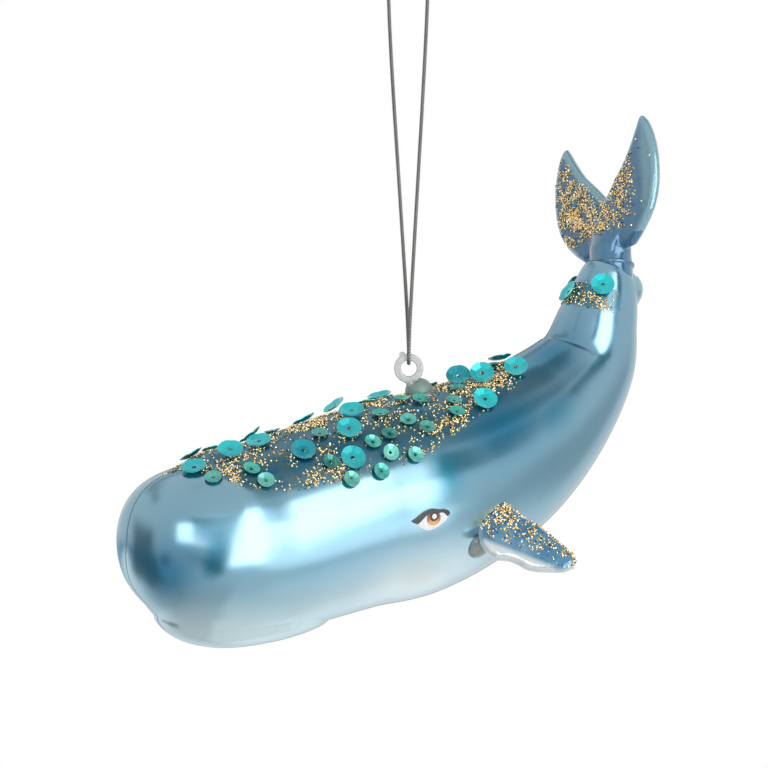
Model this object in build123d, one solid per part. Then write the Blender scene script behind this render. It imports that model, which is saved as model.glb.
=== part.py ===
from build123d import *
import math
import os

os.makedirs("parts", exist_ok=True)

# Hanging glass whale, in millimetres.
# Origin: the point of the cord loop that rests on a hook. +Z up, head towards -X, left side towards -Y.

# Overall
cord_drop = 97.0            # hanging point to the middle of the ring
body_length = 136.6         # nose to heel, measured level
body_depth = 50.0           # scale of the back-to-belly height
body_width_share = 0.94     # breadth of a section against its height
belly_taper_share = 0.07    # how much a section narrows towards the belly
nose_round = 26.0           # length over which the blunt head rounds in
nose_power_share = 2.5      # bluntness of the head's rounding

# Line of the body: level place, height, half depth.
# The first two are shares of the body's length, the third of its depth scale.
station_shares = [
    (0.000, 0.000, 0.380),
    (0.067, -0.006, 0.385),
    (0.152, -0.020, 0.440),
    (0.252, -0.018, 0.457),
    (0.351, -0.001, 0.471),
    (0.453, 0.018, 0.484),
    (0.558, 0.032, 0.496),
    (0.669, 0.060, 0.469),
    (0.783, 0.108, 0.418),
    (0.885, 0.175, 0.341),
    (0.959, 0.252, 0.266),
    (0.988, 0.334, 0.211),
    (1.004, 0.389, 0.173),
    (1.011, 0.419, 0.142),
    (1.016, 0.434, 0.117),
]
nose_shares = (0.01, 0.05, 0.12, 0.22, 0.36, 0.54, 0.76, 1.0)
body_sections = 15          # sections from the head to the heel
outline_points = 24         # points around one section
seam_angle = 60.0           # degrees from the back to where a section starts

# Glass
head_wall = 1.3             # the blown wall at the nose
tail_wall = 0.9             # and at the stock
solid_end = 7.0             # closed end of the stock, under the flukes
jaw_length = 33.0
jaw_width = 24.0
jaw_height = 12.0
jaw_place_share = 0.178     # middle of the jaw along the body
jaw_show = 2.0              # how far the jaw stands out of the belly
jaw_pitch = 1.0             # degrees that its tip is lifted towards the head
heel_radius = 5.4
heel_show = 2.5             # how far the heel bump stands out
heel_place_share = 0.974

# Flukes
fluke_half_span = 20.4
fluke_rise = 18.5           # tips above the notch
fluke_root = 18.3           # notch above the end of the stock
fluke_thickness = 2.9
fluke_edge = 1.1            # rounding of the rim
fluke_neck_radius = 5.5
fluke_up = (0.165, 0.306, 0.937)        # way from the stock to the notch: glued on a little askew
fluke_left = (0.09, -0.92, 0.38)        # way from the notch to the left half
fluke_inner_shares = [(0.20, 0.23), (0.42, 0.47), (0.58, 0.71)]
fluke_tip_share = (0.745, 1.0)
fluke_outer_shares = [(0.875, 0.83), (0.975, 0.50), (1.0, 0.17), (0.965, -0.14), (0.85, -0.42), (0.66, -0.65),
                      (0.46, -0.82)]
neck_waist_shares = [(1.16, 0.94, -0.72), (1.42, 0.58, -0.42), (1.36, 0.28, -0.18)]

# Flippers
flipper_length = 25.0
flipper_width = 14.0
flipper_thickness = 3.4
flipper_edge = 1.3
flipper_root_share = 0.17   # part of the blade that lies behind its root point
flipper_place_share = 0.5155
flipper_angle = 108.5       # degrees round the body from the back
flipper_proud = 2.2         # root point outside the skin
flipper_way = (13.9, -12.6, -6.8)
flipper_chord = (-0.59, -0.24, -0.77)
flipper_outline_shares = [
    (0.01, -0.21), (0.03, -0.43), (0.13, -0.54), (0.26, -0.51), (0.34, -0.43), (0.54, -0.38),
    (0.78, -0.22), (0.95, -0.11), (1.0, 0.06), (0.94, 0.24), (0.80, 0.36), (0.62, 0.46),
    (0.41, 0.44), (0.27, 0.50), (0.10, 0.38), (0.0, 0.08),
]

# Glue
hub_radius = 3.5
hub_height = 1.5
hub_place_share = 0.500
hub_angle = 121.0
fluke_bead = 0.6            # thickness of the glue around the flukes
cap_bead = 0.7              # and around the hanger's cap

# Hanger
ring_radius = 3.6
ring_hole = 1.95            # radius of the eye
ring_thickness = 1.6
ring_edge = 0.45
ring_turn = 32.0            # degrees that the ring is turned out of line with the body
ring_clear = 2.680          # between the ring and the crown of the back
ring_ahead = 3.200          # the ring's middle in front of the cap's
nub_radius = 0.8
nub_angle = 26.0            # degrees to the left of the ring's top
stem_radius = 1.1
cap_radius = 3.4
cap_height = 4.1
cap_crown = 1.0             # height of the dome's straight lower wall
cap_lean = 16.0             # degrees
cap_place_share = 0.5255
cap_seat = 0.35             # the cap's rim lies this far into the curve of the back
plug_radius = 2.6
plug_length = 6.0
plug_fit = 0.1              # space between the plug and the blowing hole

# Cord
cord_diameter = 1.0
bight_gap = 0.25            # between the cord and the faces of the ring
bight_drop = 0.7            # middle of the cord below the ring's band
strand_rise = 5.0           # the strands lean together from this far above the ring's middle
pinch_rise = 17.5           # and are closest this far above it
pinch_across = 0.55
pinch_near = 0.6
loop_reach = 5.6            # half the loop's width under the hook
loop_fall = 3.4             # from the hook to where the loop is widest
loop_top = 0.8              # middle of the cord above the hook, where it enters the knot
strand_bend = 1.5           # radius round the band
loop_shares = [(0.23, 0), (0.69, 0.12), (0.88, 0)]     # of its half width and fall: knot, shoulder, narrower side
knot_radius = 1.7
knot_height = 3.6
knot_edge = 1.2
tail_length = 5.0
tail_lean = 24.0            # degrees
knot_gap = 0.05             # between the cord's ends and the knot

# Eyes: level and upright places from the middle of the eye
eye_place_share = 0.418
eye_angle = 91.0
enamel_white = 0.20         # thicknesses of the paint, one on another
enamel_iris = 0.28
enamel_black = 0.36
enamel_glint = 0.44
enamel_reach = 6.0          # how deep the outlines reach through the skin
eye_width = 10.0
eye_height = 5.2
white_shares = [(-0.40, -0.27), (-0.27, -0.46), (-0.09, -0.56), (0.19, -0.38), (0.37, -0.13), (0.43, 0.05),
                (0.22, 0.27), (0.0, 0.30), (-0.22, 0.12)]
lash_shares = [(-0.56, -0.06), (-0.33, 0.22), (-0.19, 0.37), (-0.02, 0.44), (0.19, 0.375), (0.36, 0.35),
               (0.455, 0.16), (0.41, 0.04), (0.31, 0.18), (0.14, 0.22), (-0.14, 0.18), (-0.30, -0.04),
               (-0.41, -0.21), (-0.50, -0.17)]
iris_radius = 1.85
iris_place = (0.15, 0.05)
pupil_radius = 1.2
pupil_place = (0.2, 0.42)
glint_radius = 0.6

# Sequins
large_sequin = 6.0
small_sequin = 4.0
sequin_hole_share = 0.17
sequin_flat_share = 0.58    # flat middle of the cup
sequin_cup_share = 0.09     # height of the rim
sequin_gauge = 0.2
sequin_float = 0.08         # glue under a sequin

# Places: share of the body's line, degrees round it from the back (left side positive), tilt, way of tilt
large_place_shares = {
    "head_left": [(0.075, 12, 6, 240), (0.150, 11, 18, 240), (0.226, 5, 10, 240), (0.269, 29, 8, 250)],
    "head_right": [(0.246, -15, 18, 150), (0.125, -24, 4, 0), (0.195, -42, 5, 90), (0.285, -36, 6, 200)],
    "back_left": [(0.350, 25, 14, 240), (0.378, 7.6, 14, 240), (0.327, 45, 6, 250)],
    "back_right": [(0.345, -22, 6, 170), (0.385, -16, 24, 190), (0.465, -12, 12, 240), (0.345, -46, 6, 90),
                   (0.412, -38, 5, 180), (0.470, -42, 5, 30)],
    "rear_left": [(0.647, 11, 34, 240), (0.599, 33, 14, 240), (0.713, 18, 20, 230), (0.611, 2.3, 34, 240)],
    "rear_right": [(0.697, -8, 10, 0), (0.735, -14, 16, 20), (0.600, -34, 5, 90), (0.668, -36, 6, 0)],
    "stock": [(0.964, 47, 5, 0), (0.944, -14, 6, 0), (0.958, -68, 5, 180)],
}
small_place_shares = {
    "head_left": [(0.087, 30, 0, 0), (0.160, 32, 4, 0), (0.174, 43, 12, 180), (0.292, 43, 5, 0)],
    "head_right": [(0.160, -20, 5, 90), (0.275, -10, 5, 0), (0.228, -50, 6, 0), (0.262, -56, 5, 90),
                   (0.098, -44, 5, 0)],
    "back_left": [(0.311, 19, 5, 0), (0.309, 57, 6, 0), (0.404, 18, 5, 90), (0.472, 7, 6, 0), (0.496, 14, 9, 270),
                  (0.366, 39, 5, 0), (0.392, 37, 7, 90), (0.379, 49, 14, 270), (0.356, 58, 6, 0),
                  (0.434, 30, 5, 180), (0.411, 54, 6, 0), (0.460, 39, 6, 90)],
    "back_right": [(0.430, -7, 5, 0), (0.372, -58, 6, 0), (0.428, -56, 5, 90), (0.440, -24, 6, 0),
                   (0.500, -26, 5, 180), (0.330, -62, 5, 90)],
    "rear_left": [(0.551, 24, 5, 0), (0.533, 34, 8, 90), (0.585, 12, 5, 0)],
    "rear_right": [(0.560, -24, 5, 0), (0.575, -12, 6, 90), (0.548, -40, 5, 0), (0.640, -50, 6, 0)],
}

station_x = [row[0] * body_length for row in station_shares]
station_z = [row[1] * body_length for row in station_shares]
station_half = [row[2] * body_depth for row in station_shares]
station_at = [0.0]
for before, after in zip(range(len(station_x)), range(1, len(station_x))):
    step = math.hypot(station_x[after] - station_x[before], station_z[after] - station_z[before])
    station_at.append(station_at[-1] + step)
line_length = station_at[-1]


def smooth(values, at):
    # a smooth curve through the stations
    last = len(station_at) - 1
    here = min(max(sum(place <= at for place in station_at) - 1, 0), last - 1)

    def slope(index):
        low, high = max(index - 1, 0), min(index + 1, last)
        return (values[high] - values[low]) / (station_at[high] - station_at[low])

    gap = station_at[here + 1] - station_at[here]
    u = (at - station_at[here]) / gap
    rise = 3 * u**2 - 2 * u**3
    start_pull = (u**3 - 2 * u**2 + u) * gap * slope(here)
    end_pull = (u**3 - u**2) * gap * slope(here + 1)
    return (1 - rise) * values[here] + rise * values[here + 1] + start_pull + end_pull


def body_line(at):
    # middle of the section and its direction towards the back of the whale
    probe = line_length / 1000
    middle = Vector(smooth(station_x, at), 0, smooth(station_z, at))
    ahead = Vector(smooth(station_x, at + probe), 0, smooth(station_z, at + probe))
    behind = Vector(smooth(station_x, at - probe), 0, smooth(station_z, at - probe))
    along = (ahead - behind).normalized()
    return middle, along, Vector(-along.Z, 0, along.X)


def crown_place(share):
    # where the back's crown lies, from the middle of the nose
    middle, along, back = body_line(share * line_length)
    return middle + back * smooth(station_half, share * line_length)


# The body hangs from the ring, so its nose is where the crown under the cap puts it.
crown = crown_place(cap_place_share)
nose_ahead = crown.X - ring_ahead
nose_below = crown.Z + ring_clear + ring_radius
station_x = [place - nose_ahead for place in station_x]
station_z = [place - cord_drop - nose_below for place in station_z]


def section(at, inset=0.0):
    # closed outline of the body, drawn in by the inset
    middle, along, back = body_line(at)
    share = min(max((at - inset) / nose_round, 0), 1)
    roundness = (1 - (1 - share) ** nose_power_share) ** (1 / nose_power_share)
    high = (smooth(station_half, at) - inset) * roundness
    wide = (smooth(station_half, at) * body_width_share - inset) * roundness
    points = []
    for count in range(outline_points):
        angle = math.radians(seam_angle + count * 360 / outline_points)
        out = wide * math.sin(angle) * (1 + belly_taper_share * math.cos(angle))
        points.append(middle + back * (high * math.cos(angle)) + Vector(0, -out, 0))
    return make_face(Spline(*points, periodic=True))


def wall_at(at):
    return head_wall + (tail_wall - head_wall) * at / line_length


def skin(inset=0.0):
    rest = line_length - nose_round
    places = [nose_round * share for share in nose_shares]
    places += [nose_round + rest * count / body_sections for count in range(1, body_sections + 1)]
    return loft([section(at, inset) for at in places])


def hollow():
    rest = line_length - nose_round - solid_end
    places = [head_wall + nose_round * share for share in nose_shares]
    places += [nose_round + rest * count / body_sections for count in range(1, body_sections + 1)]
    return loft([section(at, wall_at(at)) for at in places])


outer_skin = skin()


def seat(place_share, degrees):
    # point of the skin and its outward direction, seen from the body's line
    middle, along, back = body_line(place_share * line_length)
    angle = math.radians(degrees)
    way = back * math.cos(angle) + Vector(0, -math.sin(angle), 0)
    hits = outer_skin.find_intersection_points(Axis(middle, way))
    point, normal = max(hits, key=lambda hit: (hit[0] - middle).dot(way))
    if normal.dot(way) < 0:
        normal = normal * -1
    return Plane(origin=point, x_dir=along - normal * along.dot(normal), z_dir=normal)


def at_angle(radius, degrees):
    return radius * math.cos(math.radians(degrees)), radius * math.sin(math.radians(degrees))


def squashed(radius, height):
    return scale(Sphere(radius), by=(1, 1, height / radius))


def make_outside():
    # the skin with the jaw and the heel bump
    jaw_seat = seat(jaw_place_share, 180)
    jaw = scale(Sphere(jaw_length / 2), by=(1, jaw_width / jaw_length, jaw_height / jaw_length))
    jaw = jaw_seat * Pos(0, 0, jaw_show - jaw_height / 2) * Rot(0, -jaw_pitch, 0) * jaw
    heel = seat(heel_place_share, 180) * Pos(0, 0, heel_show - heel_radius) * Sphere(heel_radius)
    return outer_skin + jaw + heel


def make_glass_body(outside):
    bore = cap_plane() * Cylinder(plug_radius + plug_fit, 2 * plug_length)
    return outside - hollow() - bore


def cap_plane():
    # on the back, turned to the cap's own lean
    place = seat(cap_place_share, 0)
    lean = Vector(*[-value for value in at_angle(1, 90 - cap_lean)])
    axis = Vector(lean.X, 0, -lean.Y)
    return Plane(origin=place.origin - place.z_dir * cap_seat, x_dir=(0, -1, 0), z_dir=axis)


def ring_plane():
    # X along the ring's width, Y up, Z towards the viewer of the whale's left side
    across = Vector(math.cos(math.radians(ring_turn)), -math.sin(math.radians(ring_turn)), 0)
    return Plane(origin=(0, 0, -cord_drop), x_dir=across, z_dir=across.cross(Vector(0, 0, 1)))


def make_eyelet():
    band = Pos((ring_radius + ring_hole) / 2, 0) * Rectangle(ring_radius - ring_hole, ring_thickness)
    band = fillet(band.vertices(), ring_edge)
    ring = revolve(Plane.XZ * band, Axis.Z)
    nub_x, nub_y = at_angle(ring_radius, 90 + nub_angle)
    ring += Pos(nub_x, nub_y) * Cylinder(nub_radius, ring_thickness - ring_edge)
    eyelet = ring_plane() * ring
    cap = cap_plane()
    foot = cap.origin - cap.z_dir * (plug_length / 2)
    top = Vector(0, 0, -cord_drop - (ring_radius + ring_hole) / 2)
    way = (top - foot).normalized()
    stem = Plane(origin=foot, z_dir=way) * extrude(Circle(stem_radius), (top - foot).length)
    return eyelet + stem


def make_cap(eyelet):
    dome_radius = cap_radius
    dome = Pos(0, 0, cap_crown) * scale(Sphere(dome_radius), by=(1, 1, (cap_height - cap_crown) / dome_radius))
    dome += extrude(Circle(cap_radius), cap_crown)
    dome = cap_plane() * split(dome, Plane.XY, keep=Keep.TOP) - outer_skin
    plug = Pos(0, 0, -plug_length) * extrude(Circle(plug_radius), plug_length + cap_crown)
    return dome + cap_plane() * plug - eyelet


def square_to(way, other):
    # the part of a direction that is square to another
    return (way - other * way.dot(other)).normalized()


def fluke_plane():
    # X to the whale's left, Z up through the notch
    middle, along, back = body_line(line_length)
    up = Vector(*fluke_up).normalized()
    return Plane(origin=middle, x_dir=square_to(Vector(*fluke_left), up), z_dir=up)


def fluke_leaf():
    def place(shares, side):
        return (side * shares[0] * fluke_half_span, fluke_root + shares[1] * fluke_rise)

    notch = (0, fluke_root)
    foot = fluke_outer_shares[-1]
    edges = []
    for side in (1, -1):
        inner = [notch] + [place(row, side) for row in fluke_inner_shares] + [place(fluke_tip_share, side)]
        outer = [place(fluke_tip_share, side)] + [place(row, side) for row in fluke_outer_shares]
        edges += [Spline(*inner), Spline(*outer)]
    edges.append(Line(place(foot, 1), place(foot, -1)))
    leaf = extrude(make_face(edges), fluke_thickness / 2, both=True)
    rims = leaf.faces().filter_by(Axis.Z).edges()
    return fillet(rims, fluke_edge)


def make_flukes(outside):
    leaf = Plane.XZ * fluke_leaf()
    neck = [Circle(fluke_neck_radius)]
    neck[0] = Pos(0, 0, -fluke_neck_radius / 2) * neck[0]
    for wide, deep, high in neck_waist_shares:
        oval = Ellipse(wide * fluke_neck_radius, deep * fluke_neck_radius)
        neck.append(Pos(0, 0, fluke_root + high * fluke_root) * oval)
    flukes = fluke_plane() * (leaf + loft(neck))
    return flukes - outside


def flipper_plane():
    root = seat(flipper_place_share, flipper_angle)
    way = Vector(*flipper_way).normalized()
    chord = square_to(Vector(*flipper_chord), way)
    origin = root.origin + root.z_dir * flipper_proud
    return Plane(origin=origin, x_dir=way, z_dir=way.cross(chord))


def make_flipper():
    points = []
    for far, high in flipper_outline_shares:
        points.append(((far - flipper_root_share) * flipper_length, high * flipper_width))
    blade = extrude(make_face(Spline(*points, periodic=True)), flipper_thickness / 2, both=True)
    blade = fillet(blade.faces().filter_by(Axis.Z).edges(), flipper_edge)
    return flipper_plane() * blade - outer_skin


def mirrored(shape):
    return mirror(shape, Plane.XZ)


def make_hub(flipper, side):
    # seated on its own side: 1 left, -1 right
    hub = seat(hub_place_share, side * hub_angle) * squashed(hub_radius, hub_height)
    return hub - outer_skin - flipper


def make_fluke_glue(flukes, outside):
    bead = fluke_plane() * Torus(fluke_neck_radius, fluke_bead)
    return bead - outside - flukes


def make_cap_glue(cap, eyelet):
    bead = cap_plane() * Pos(0, 0, cap_seat) * Torus(cap_radius, cap_bead)
    return bead - outer_skin - cap - eyelet


def eye_pieces():
    middle = seat(eye_place_share, eye_angle).origin
    face = Plane(origin=middle, x_dir=(1, 0, 0), z_dir=(0, -1, 0))
    layers = {}

    def outline(shares):
        return make_face(Spline(*[(x * eye_width, z * eye_height) for x, z in shares], periodic=True))

    def paint(flat, thickness):
        prism = face * extrude(flat, enamel_reach, both=True)
        return (skin(-thickness) & prism) - outer_skin

    glint = Pos(*pupil_place) * Circle(glint_radius)
    pupil = Pos(*pupil_place) * Circle(pupil_radius)
    black = outline(lash_shares) + pupil - glint
    iris = Pos(*iris_place) * Circle(iris_radius) - black - glint
    white = outline(white_shares) - iris - black - glint
    layers["eye_white"] = paint(white, enamel_white)
    layers["eye_iris"] = paint(iris, enamel_iris)
    layers["eye_lash_and_pupil"] = paint(black, enamel_black)
    layers["eye_glint"] = paint(glint, enamel_glint)
    return layers


def sequin(diameter):
    rim = diameter / 2
    hole = rim * sequin_hole_share
    flat = rim * sequin_flat_share
    lift = diameter * sequin_cup_share
    profile = Polyline(
        (hole, 0), (flat, 0), (rim, lift), (rim, lift + sequin_gauge), (flat, sequin_gauge), (hole, sequin_gauge),
        close=True,
    )
    return revolve(Plane.XZ * make_face(profile), Axis.Z)


def scatter(diameter, places):
    cup = sequin(diameter)
    group = []
    for share, degrees, tilt, way in places:
        lift = sequin_float + diameter / 2 * math.sin(math.radians(tilt))
        group.append(seat(share, degrees) * Pos(0, 0, lift) * Rot(0, 0, way) * Rot(0, tilt, 0) * cup)
    return Compound(children=group)


def cord_route():
    # points in the ring's own directions: across, towards the viewer, up from the hanging point
    reach = (ring_thickness + cord_diameter) / 2 + bight_gap
    low = -cord_drop + ring_hole - bight_drop
    high = -cord_drop + strand_rise
    pinch = -cord_drop + pinch_rise
    points = [
        (-loop_shares[0][0] * loop_reach, 0, loop_top),
        (-loop_shares[1][0] * loop_reach, 0, -loop_shares[1][1] * loop_fall),
        (-loop_reach, 0, -loop_fall),
        (-pinch_across, -pinch_near, pinch),
        (0, -reach, high),
        (0, -reach, low),
        (0, reach, low),
        (0, reach, high),
        (pinch_across, pinch_near, pinch),
        (loop_shares[2][0] * loop_reach, 0, -loop_fall),
        (loop_shares[1][0] * loop_reach, 0, -loop_shares[1][1] * loop_fall),
        (loop_shares[0][0] * loop_reach, 0, loop_top),
    ]
    plane = ring_plane()
    return [plane.x_dir * across + plane.z_dir * near + Vector(0, 0, up) for across, near, up in points]


def cord_radii(points):
    radii = []
    for index in range(1, len(points) - 1):
        into = points[index] - points[index - 1]
        away = points[index + 1] - points[index]
        half_turn = math.radians(into.get_angle(away)) / 2
        largest = 0.45 * min(into.length, away.length) / math.tan(half_turn)
        radii.append(min(largest, strand_bend) if half_turn > math.radians(40) else largest)
    print("cord radii", [round(radius, 1) for radius in radii])
    return radii


def knot_ball(gap=0.0):
    # the knot's round, its foot on the hook
    barrel = Pos(0, 0, knot_height / 2) * Cylinder(knot_radius + gap, knot_height + 2 * gap)
    return fillet(barrel.edges().filter_by(GeomType.CIRCLE), knot_edge)


def make_cord():
    points = cord_route()
    path = FilletPolyline(*points, radius=cord_radii(points))
    start = Plane(origin=points[0], z_dir=points[1] - points[0])
    tube = sweep(start * Circle(cord_diameter / 2), path=path)
    expected = math.pi * (cord_diameter / 2) ** 2 * path.length
    print("cord length", round(path.length, 1), "volume", round(tube.volume, 1), "of", round(expected, 1))
    return tube - knot_ball(knot_gap)


def make_knot():
    tails = []
    for side in (1, -1):
        tail = extrude(Circle(cord_diameter / 2), knot_height / 2 + tail_length)
        tails.append(Pos(0, 0, knot_height / 2) * Rot(0, side * tail_lean, 0) * tail)
    return knot_ball() + tails


def save(shape, name):
    export_step(shape, os.path.join("parts", name + ".step"))


outside = make_outside()
body = make_glass_body(outside)
eyelet = make_eyelet()
cap = make_cap(eyelet)
flukes = make_flukes(outside)
left_flipper = make_flipper()
right_flipper = mirrored(left_flipper)
left_hub = make_hub(left_flipper, 1)
right_hub = make_hub(right_flipper, -1)

save(body, "glass_body")
save(eyelet, "hanger_eyelet")
save(cap, "hanger_cap")
save(make_cap_glue(cap, eyelet), "cap_glue")
save(flukes, "tail_flukes")
save(make_fluke_glue(flukes, outside), "fluke_glue")
save(left_flipper, "left_flipper")
save(right_flipper, "right_flipper")
save(left_hub, "left_flipper_glue")
save(right_hub, "right_flipper_glue")
for name, shape in eye_pieces().items():
    save(shape, "left_" + name)
    save(mirrored(shape), "right_" + name)
for zone, places in large_place_shares.items():
    save(scatter(large_sequin, places), "large_sequins_" + zone)
for zone, places in small_place_shares.items():
    save(scatter(small_sequin, places), "small_sequins_" + zone)
save(make_cord(), "hanging_cord")
save(make_knot(), "cord_knot")
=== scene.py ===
import bpy
import bmesh
import math
import numpy as np
from mathutils import Matrix, Vector, noise
from mathutils.geometry import delaunay_2d_cdt


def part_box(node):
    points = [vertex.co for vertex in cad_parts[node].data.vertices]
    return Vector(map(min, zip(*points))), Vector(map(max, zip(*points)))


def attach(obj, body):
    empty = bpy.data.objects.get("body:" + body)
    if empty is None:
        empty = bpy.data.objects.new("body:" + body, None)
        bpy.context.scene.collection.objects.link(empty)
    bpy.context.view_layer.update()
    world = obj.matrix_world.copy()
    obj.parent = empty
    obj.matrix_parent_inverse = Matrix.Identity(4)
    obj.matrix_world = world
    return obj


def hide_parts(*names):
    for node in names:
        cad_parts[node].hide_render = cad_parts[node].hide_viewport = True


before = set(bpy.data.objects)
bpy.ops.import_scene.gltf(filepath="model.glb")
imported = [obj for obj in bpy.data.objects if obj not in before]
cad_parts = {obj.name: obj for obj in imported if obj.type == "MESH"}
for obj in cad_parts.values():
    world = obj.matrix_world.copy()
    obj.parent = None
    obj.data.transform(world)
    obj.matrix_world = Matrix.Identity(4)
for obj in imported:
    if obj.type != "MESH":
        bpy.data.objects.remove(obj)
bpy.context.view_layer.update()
mm = 0.001

# ---- view: the whale hangs in the middle, seen from its left front ----
camSet = {
    "ring": (0, 0, -97 * mm), "azimuth": -32, "elevation": 6, "distance": 600 * mm,
    "lens": 114.8, "ringPixel": (408.7, 368.3), "frame": 768, "pixel": 0.245 * mm,
}


def cameraAxes():
    a, e = math.radians(camSet["azimuth"]), math.radians(camSet["elevation"])
    toCam = Vector((math.sin(a) * math.cos(e), -math.cos(a) * math.cos(e), math.sin(e)))
    right = (-toCam).cross(Vector((0, 0, 1))).normalized()
    return right, right.cross(-toCam), toCam


camRight, camUp, camBack = cameraAxes()


def makeCamera():
    half = camSet["frame"] / 2
    across, down = camSet["ringPixel"][0] - half, half - camSet["ringPixel"][1]
    place = Vector(camSet["ring"]) + camBack * camSet["distance"]
    place -= camRight * across * camSet["pixel"] + camUp * down * camSet["pixel"]
    cam = bpy.data.objects.new("camera", bpy.data.cameras.new("camera"))
    cam.data.lens = camSet["lens"]
    cam.data.clip_start = 0.01
    turn = Matrix((camRight, camUp, camBack)).transposed().to_4x4()
    cam.matrix_world = Matrix.Translation(place) @ turn
    bpy.context.scene.collection.objects.link(cam)
    bpy.context.scene.camera = cam


def newPiece(name, verts, faces, smooth=True):
    mesh = bpy.data.meshes.new(name)
    mesh.from_pydata([tuple(v) for v in verts], [], [tuple(f) for f in faces])
    mesh.validate()
    mesh.polygons.foreach_set("use_smooth", [smooth] * len(mesh.polygons))
    piece = bpy.data.objects.new(name, mesh)
    bpy.context.scene.collection.objects.link(piece)
    return piece


def dress(piece, body, node):
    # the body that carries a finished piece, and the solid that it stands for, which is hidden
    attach(piece, body)
    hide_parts(node)


def bandFaces(first, rings, around):
    # four-sided faces between rings of points that follow one another
    faces = []
    for low in range(first, first + (rings - 1) * around, around):
        for k in range(around):
            n = (k + 1) % around
            faces.append((low + k, low + n, low + around + n, low + around + k))
    return faces


def softSpot(a, b, middleA, middleB, reachA, reachB):
    # 1 in the middle of a soft oval, falling away over its two reaches
    return np.exp(-((a - middleA) / reachA) ** 2 - ((b - middleB) / reachB) ** 2)


def setFloat(piece, name, values):
    layer = piece.data.attributes.new(name, "FLOAT", "POINT")
    layer.data.foreach_set("value", np.asarray(values, dtype=np.float32))


def setColor(piece, name, values):
    layer = piece.data.attributes.new(name, "FLOAT_COLOR", "POINT")
    rgba = np.ones((len(values), 4), dtype=np.float32)
    rgba[:, :3] = values
    layer.data.foreach_set("color", rgba.ravel())


def linear(hexCode):
    # a screen colour as the light values that shaders use
    parts = [int(hexCode[i:i + 2], 16) / 255 for i in (1, 3, 5)]
    return [p / 12.92 if p < 0.04045 else ((p + 0.055) / 1.055) ** 2.4 for p in parts]


# ---- materials ----
class Nodes:
    # short hands for the nodes of a tree
    def __init__(self, tree):
        self.nodes, self.links = tree.nodes, tree.links

    def add(self, kind, **values):
        node = self.nodes.new(kind)
        for key, value in values.items():
            if hasattr(node, key):
                setattr(node, key, value)
            else:
                node.inputs[key.replace("_", " ")].default_value = value
        return node

    def link(self, out, into):
        self.links.new(out, into)
        return self

    def span(self, value, low, high, toLow=0.0, toHigh=1.0, how="LINEAR"):
        node = self.add("ShaderNodeMapRange", interpolation_type=how)
        for key, number in (("From Min", low), ("From Max", high), ("To Min", toLow), ("To Max", toHigh)):
            node.inputs[key].default_value = number
        self.link(value, node.inputs["Value"])
        return node.outputs["Result"]

    def math(self, how, *values):
        node = self.add("ShaderNodeMath", operation=how)
        for socket, value in zip(node.inputs, values):
            if isinstance(value, (int, float)):
                socket.default_value = value
            else:
                self.link(value, socket)
        return node.outputs[0]


class Tree(Nodes):
    # a material, its nodes and what feeds its shader
    def __init__(self, name):
        self.mat = bpy.data.materials.new(name)
        self.mat.use_nodes = True
        super().__init__(self.mat.node_tree)
        self.shader = self.nodes["Principled BSDF"]

    def set(self, **values):
        for key, value in values.items():
            socket = self.shader.inputs[key.replace("_", " ")]
            socket.default_value = (*value, 1) if hasattr(value, "__len__") and len(value) == 3 else value
        return self

    def coords(self):
        return self.add("ShaderNodeTexCoord").outputs["Object"]

    def noise(self, size, detail=3.0, rough=0.55):
        # a cloud whose blotches are about that many metres across
        tex = self.add("ShaderNodeTexNoise", Scale=1 / size, Detail=detail, Roughness=rough)
        self.link(self.coords(), tex.inputs["Vector"])
        return tex.outputs["Fac"]

    def ramp(self, fac, stops):
        node = self.add("ShaderNodeValToRGB")
        bar = node.color_ramp
        while len(bar.elements) < len(stops):
            bar.elements.new(0.5)
        for element, (at, color) in zip(bar.elements, stops):
            element.position = at
            element.color = (*color, 1) if len(color) == 3 else color
        self.link(fac, node.inputs["Fac"])
        return node.outputs["Color"]

    def without(self, value, share):
        # what is left of 1 when a share of the value goes
        return self.math("SUBTRACT", 1.0, self.math("MULTIPLY", value, share))

    def mix(self, fac, a, b):
        node = self.add("ShaderNodeMix", data_type="RGBA", blend_type="MIX")
        for index, value in ((0, fac), (6, a), (7, b)):
            if isinstance(value, (int, float)):
                node.inputs[index].default_value = value
            elif isinstance(value, (list, tuple)):
                node.inputs[index].default_value = (*value, 1)
            else:
                self.link(value, node.inputs[index])
        return node.outputs[2]

    def attribute(self, name, wanted="Fac"):
        return self.add("ShaderNodeAttribute", attribute_name=name).outputs[wanted]

    def bump(self, height, depth, strength=1.0):
        node = self.add("ShaderNodeBump", Strength=strength, Distance=depth)
        self.link(height, node.inputs["Height"])
        self.link(node.outputs["Normal"], self.shader.inputs["Normal"])

    def color(self, out):
        return self.link(out, self.shader.inputs["Base Color"])

    def rough(self, out):
        return self.link(out, self.shader.inputs["Roughness"])


# lacquer of the body: flecks are size, detail, strength and tone; the wash lies under the glitter
pearlSet = {
    "metal": 0.75, "coatIndex": 2.5, "coatRough": 0.17, "edgeTint": "#8FC0D4",
    "flecks": [(14 * mm, 4, 0.14, "#4F91A8"), (0.35 * mm, 2, 0.14, "#2B5B70")],
    # the mould line's tone is painted shade along its ridge
    "seamWide": (0.42 * mm, 0.12 * mm), "seamFrom": (-66 * mm, -68 * mm), "seamPaintedShade": "#1D5068",
    "washTones": [(0.30, "#136F98"), (0.44, "#2B6B82"), (0.58, "#46707C"), (0.70, "#12678F")],
    "washEdge": (0.42, 0.62), "washRagged": 0.55, "washCover": 0.95, "washDull": 0.16,
}


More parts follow.
